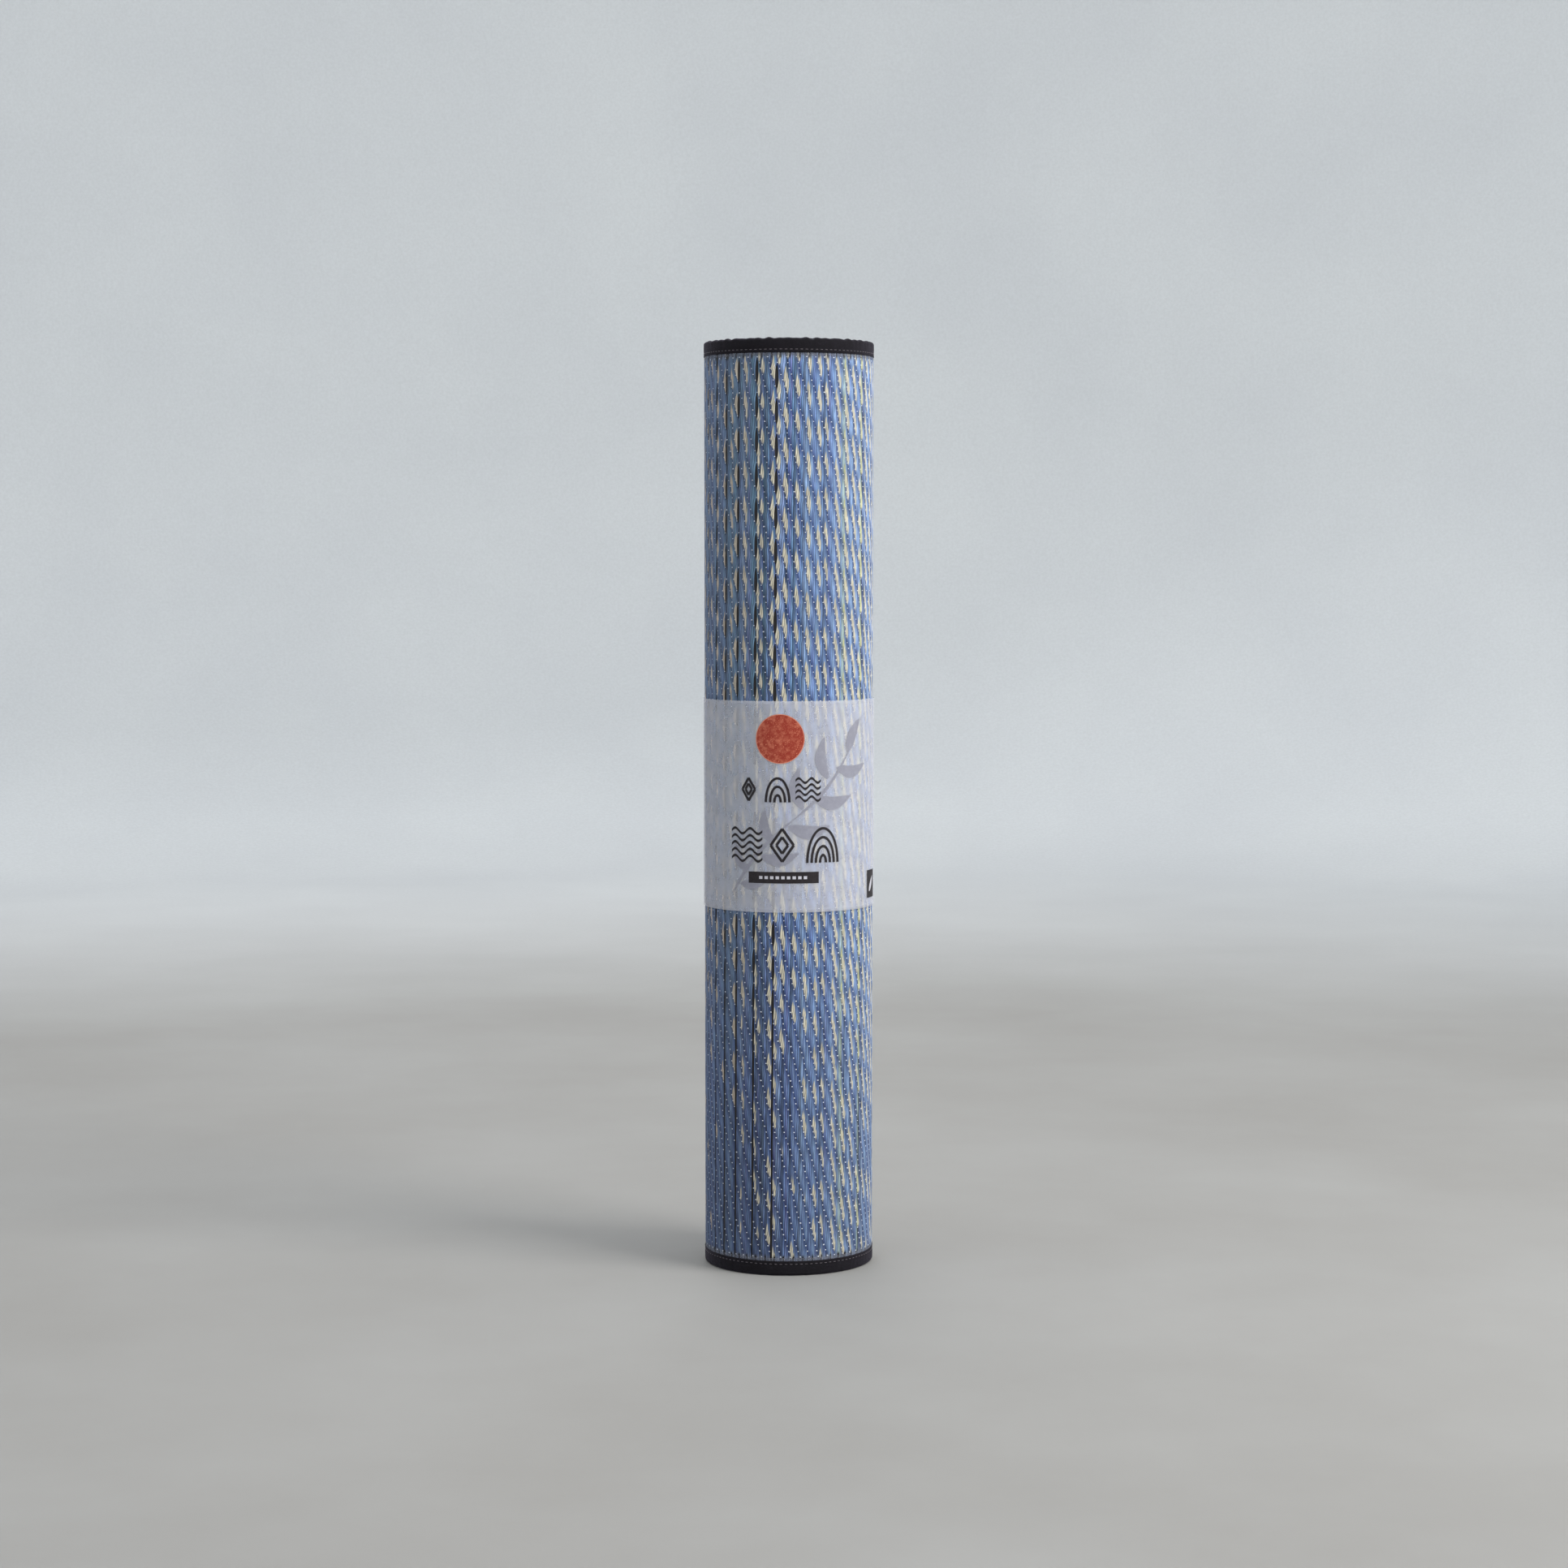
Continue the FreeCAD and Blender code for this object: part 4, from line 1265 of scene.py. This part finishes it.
SUN = printed_at(-4.7, 346)
SUN_RADIUS = 15.3 * MM
printed("sleeve_print_disc", [disc(SUN, 0.0, SUN_RADIUS, 18)], red_ink, 1)
printed("sleeve_print_disc_rim", [disc(SUN, SUN_RADIUS, 15.8 * MM, 2)], rim_ink, 1)

# A sprig of leaves, climbing from the lower left to the upper right: (angle round the sleeve, height) of
# each leaf's base and tip, its width and its bend. The first two are the stem.
SPRIG = [
    ((-40, 246), (6, 296), 1.8, 0.05),
    ((5, 295), (45, 339), 1.8, -0.05),
    ((-33, 253), (-13, 258), 6.0, -0.14),
    ((-27, 261), (-37, 279), 6.0, 0.14),
    ((-18, 271), (8, 273), 7.5, -0.14),
    ((-10, 280), (-15, 301), 6.5, 0.14),
    ((1, 290), (29, 290), 8.5, -0.14),
    ((10, 301), (8, 328), 7.5, 0.14),
    ((17, 308), (46, 309), 8.5, -0.14),
    ((27, 320), (25, 347), 7.5, 0.14),
    ((34, 327), (61, 329), 7.5, -0.14),
    ((43, 337), (55, 358), 7.5, 0.06),
]
sprig = [leaf(printed_at(*base), printed_at(*tip), wide * MM, bend) for base, tip, wide, bend in SPRIG]
printed("sleeve_print_leaves", sprig, grey_ink, 0)


def diamond_mark(left, right, low, high, thick, rings):
    """Nested diamonds."""
    middle = np.array([(left + right) / 2, (low + high) / 2])
    half = np.array([(right - left) / 2, (high - low) / 2]) - thick / 2
    strokes = []
    for ring in range(rings):
        size = half * (1 - ring / rings)
        ends = [middle + size * corner for corner in ((0, 1), (1, 0), (0, -1), (-1, 0))]
        strokes += [stroke(ends[side], ends[(side + 1) % 4], thick) for side in range(4)]
    return strokes


def arch_mark(left, right, low, high, thick, count):
    """Nested arches."""
    spin = np.linspace(0, math.pi, 33)[None, :]
    inward = np.array([[0.0], [1.0]]) * thick
    shapes = []
    for number in range(count):
        share = 1 - number / count
        wide = (right - left) / 2 * share - inward
        tall = (high - low) * share - inward
        shapes.append(((left + right) / 2 - wide * np.cos(spin), low + tall * np.sin(spin)))
    return shapes


def ripple_mark(left, right, low, high, thick, count):
    """Wavy lines one above the other."""
    length = even_steps(left, right, 0.5 * MM)[None, :] * np.ones((2, 1))
    swing = (high - low - thick) / (count + 1) / 2
    wave = swing * np.sin(2 * math.pi * (length - left) / ((right - left) / 2))
    width = np.array([[-0.5], [0.5]]) * thick
    levels = np.linspace(low + thick / 2 + swing, high - thick / 2 - swing, count)
    return [(length, level + wave + width) for level in levels]


# Rows of marks: lower and upper edges and thickness in millimetres, then each mark's left and right edges
# in degrees, its kind, and its number of parts.
UPPER_MARKS = (
    (305.6, 321.7, 1.6),
    ((-32.3, -21.1, diamond_mark, 2), (-15.1, 2.4, arch_mark, 3), (5.5, 22.4, ripple_mark, 4)),
)
LOWER_MARKS = (
    (266.7, 289.5, 1.7),
    ((-40.4, -16.7, ripple_mark, 5), (-11.9, 5.3, diamond_mark, 2), (12.4, 35.6, arch_mark, 4)),
)
for name, (sizes, row) in (("upper", UPPER_MARKS), ("lower", LOWER_MARKS)):
    low, high, thick = [size * MM for size in sizes]
    strokes = []
    for left, right, mark, count in row:
        strokes += mark(around(left), around(right), low, high, thick, count)
    printed(f"sleeve_print_{name}_marks", strokes, black_ink, 2)

DASH, DASH_STEP = 2.2 * MM, 3.6 * MM
dash_starts = np.arange(around(-19), around(14), DASH_STEP)
dashes = [rectangle(start, start + DASH, 256.4 * MM, 258.3 * MM, 0.9 * MM) for start in dash_starts]
bar = rectangle(around(-26.7), around(21), 253.7 * MM, 261 * MM)
patch = rectangle(around(66), around(80), 241 * MM, 259 * MM)
patch_leaf = leaf(printed_at(69.5, 245), printed_at(76.5, 255), 3.4 * MM, 0.0)
printed("sleeve_print_bar", [bar], black_ink, 2)
printed("sleeve_print_bar_dashes", dashes, pale_ink, 3)
printed("sleeve_print_patch", [patch], black_ink, 2)
printed("sleeve_print_patch_leaf", [patch_leaf], pale_ink, 3)


def paste_strip():
    """The pasted band between the sleeve's two ends."""
    angle = even_steps(back_angle(OVERLAP_EDGE_X), back_angle(PASTE_END_X), 1.0 * MM / RIGHT_RADIUS)
    heights = np.linspace(SLEEVE_LOW + 3 * MM, SLEEVE_HIGH - 3 * MM, 40)
    ragged = 0.4 * MM * ripple(heights, (7 * MM, 11 * MM, 4.3 * MM), 83)
    shift = ragged[None, :] / RIGHT_RADIUS * np.linspace(1, -1, len(angle))[:, None]
    turned = angle[:, None] + shift + 0.4 * MM / RIGHT_RADIUS
    faces = []
    for lift in (0.085 * MM, 0.01 * MM):
        radius = RIGHT_RADIUS + lift
        x, y = MIDDLE_X + radius * np.sin(turned), radius * np.cos(turned)
        faces.append(np.stack([x, y, heights + 0 * turned], axis=-1))
    points = np.concatenate([faces[0], faces[1][:, ::-1]], axis=1)
    band = sweep_faces(*points.shape[:2])
    piece = new_piece("sleeve_paste_band", points, band, paste, "sleeve", (1, 2))
    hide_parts("sleeve_glue_strip")


paste_strip()


# ---- stage, light and camera


def stage_finish():
    finish = Finish("pale_stage", roughness=0.75, specular=0.25)
    place = finish.object_place()
    cloud = finish.noise(place, 0.35, detail=5.0)
    grain = finish.noise(place, 0.004, detail=3.0)
    wall = finish.mix(finish.span(cloud, 0.0, 1.0), srgb(213, 216, 218), srgb(219, 222, 223))
    floor = finish.mix(finish.span(cloud, 0.0, 1.0), srgb(146, 144, 140), srgb(156, 155, 152))
    reach = finish.add("ShaderNodeVectorMath", operation="LENGTH")
    finish.feed(reach.inputs[0], place)
    base = finish.mix(finish.span(reach.outputs["Value"], 0.0, 1.0, 1.2, 2.9), floor, wall)
    finish.colour(finish.span(grain, 0.0, 0.12), base, srgb(150, 149, 147))
    finish.bump(grain, 0.2 * MM, 0.3)
    return finish.material


FLOOR_RADIUS = 2.6
BEND_RADIUS = 0.7
WALL_LOW, WALL_HIGH = 0.9, 3.4


def backdrop():
    """A floor that curves up into a wall on all sides."""
    profile = [(radius, 0.0) for radius in np.linspace(0.02, FLOOR_RADIUS, 24)]
    for bend in np.linspace(0, math.pi / 2, 16)[1:]:
        across, up = math.sin(bend), 1 - math.cos(bend)
        profile.append((FLOOR_RADIUS + BEND_RADIUS * across, BEND_RADIUS * up))
    profile += [(FLOOR_RADIUS + BEND_RADIUS, height) for height in np.linspace(WALL_LOW, WALL_HIGH, 8)]
    spin = np.linspace(0, 2 * math.pi, 97)[:-1]
    radius, height = np.array(profile).T
    count = len(spin)
    up = np.repeat(height[:, None], count, 1)
    points = np.stack([np.outer(radius, np.cos(spin)), np.outer(radius, np.sin(spin)), up], axis=-1)
    faces = grid_faces(len(profile), count, closed=True).tolist() + [list(range(count))]
    mesh = bpy.data.meshes.new("stage")
    mesh.from_pydata(points.reshape(-1, 3).tolist(), [], faces)
    mesh.polygons.foreach_set("use_smooth", np.ones(len(mesh.polygons), bool))
    mesh.update()
    mesh.materials.append(stage_finish())
    piece = bpy.data.objects.new("stage", mesh)
    bpy.context.scene.collection.objects.link(piece)
    piece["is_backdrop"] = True


def area_light(name, place, target, size, power, colour):
    light = bpy.data.lights.new(name, "AREA")
    light.shape = "RECTANGLE"
    light.size, light.size_y = size
    light.energy = power
    light.color = colour
    lamp = bpy.data.objects.new(name, light)
    bpy.context.scene.collection.objects.link(lamp)
    lamp.location = place
    direction = np.array(target) - np.array(place)
    lamp.rotation_mode = "XYZ"
    flat = math.hypot(direction[0], direction[1])
    lamp.rotation_euler = (math.atan2(flat, -direction[2]), 0, math.atan2(-direction[0], direction[1]))
    lamp.visible_camera = False


backdrop()
area_light("key_light", (2.0, -1.1, 2.1), (0, 0, 0.45), (1.4, 1.8), 76, (1.0, 0.99, 0.98))
area_light("fill_light", (-1.6, -2.0, 1.8), (0, 0, 0.4), (2.0, 2.0), 6, (0.94, 0.96, 1.0))
area_light("top_light", (0.2, 0.2, 2.9), (0, 0, 0.0), (2.4, 2.4), 30, (0.97, 0.98, 1.0))
area_light("rear_light", (-0.6, 2.2, 1.6), (0, 0, 0.3), (1.8, 1.6), 16, (0.97, 0.98, 1.0))

world = bpy.data.worlds.new("soft_room")
world.use_nodes = True
world.node_tree.nodes["Background"].inputs["Color"].default_value = (0.84, 0.88, 0.93, 1.0)
world.node_tree.nodes["Background"].inputs["Strength"].default_value = 0.55
bpy.context.scene.world = world
bpy.context.scene.view_settings.view_transform = "Standard"

camera_data = bpy.data.cameras.new("camera")
camera_data.lens = 74.6
camera_data.sensor_width = 36.0
camera_data.clip_start = 0.05
camera_data.clip_end = 30.0
camera = bpy.data.objects.new("camera", camera_data)
bpy.context.scene.collection.objects.link(camera)
camera.location = (0.0, -2.120, 0.4585)
camera.rotation_euler = (math.radians(90 - 3.914), 0.0, math.radians(0.085))
bpy.context.scene.camera = camera

low, high = [list(corner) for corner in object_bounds()]
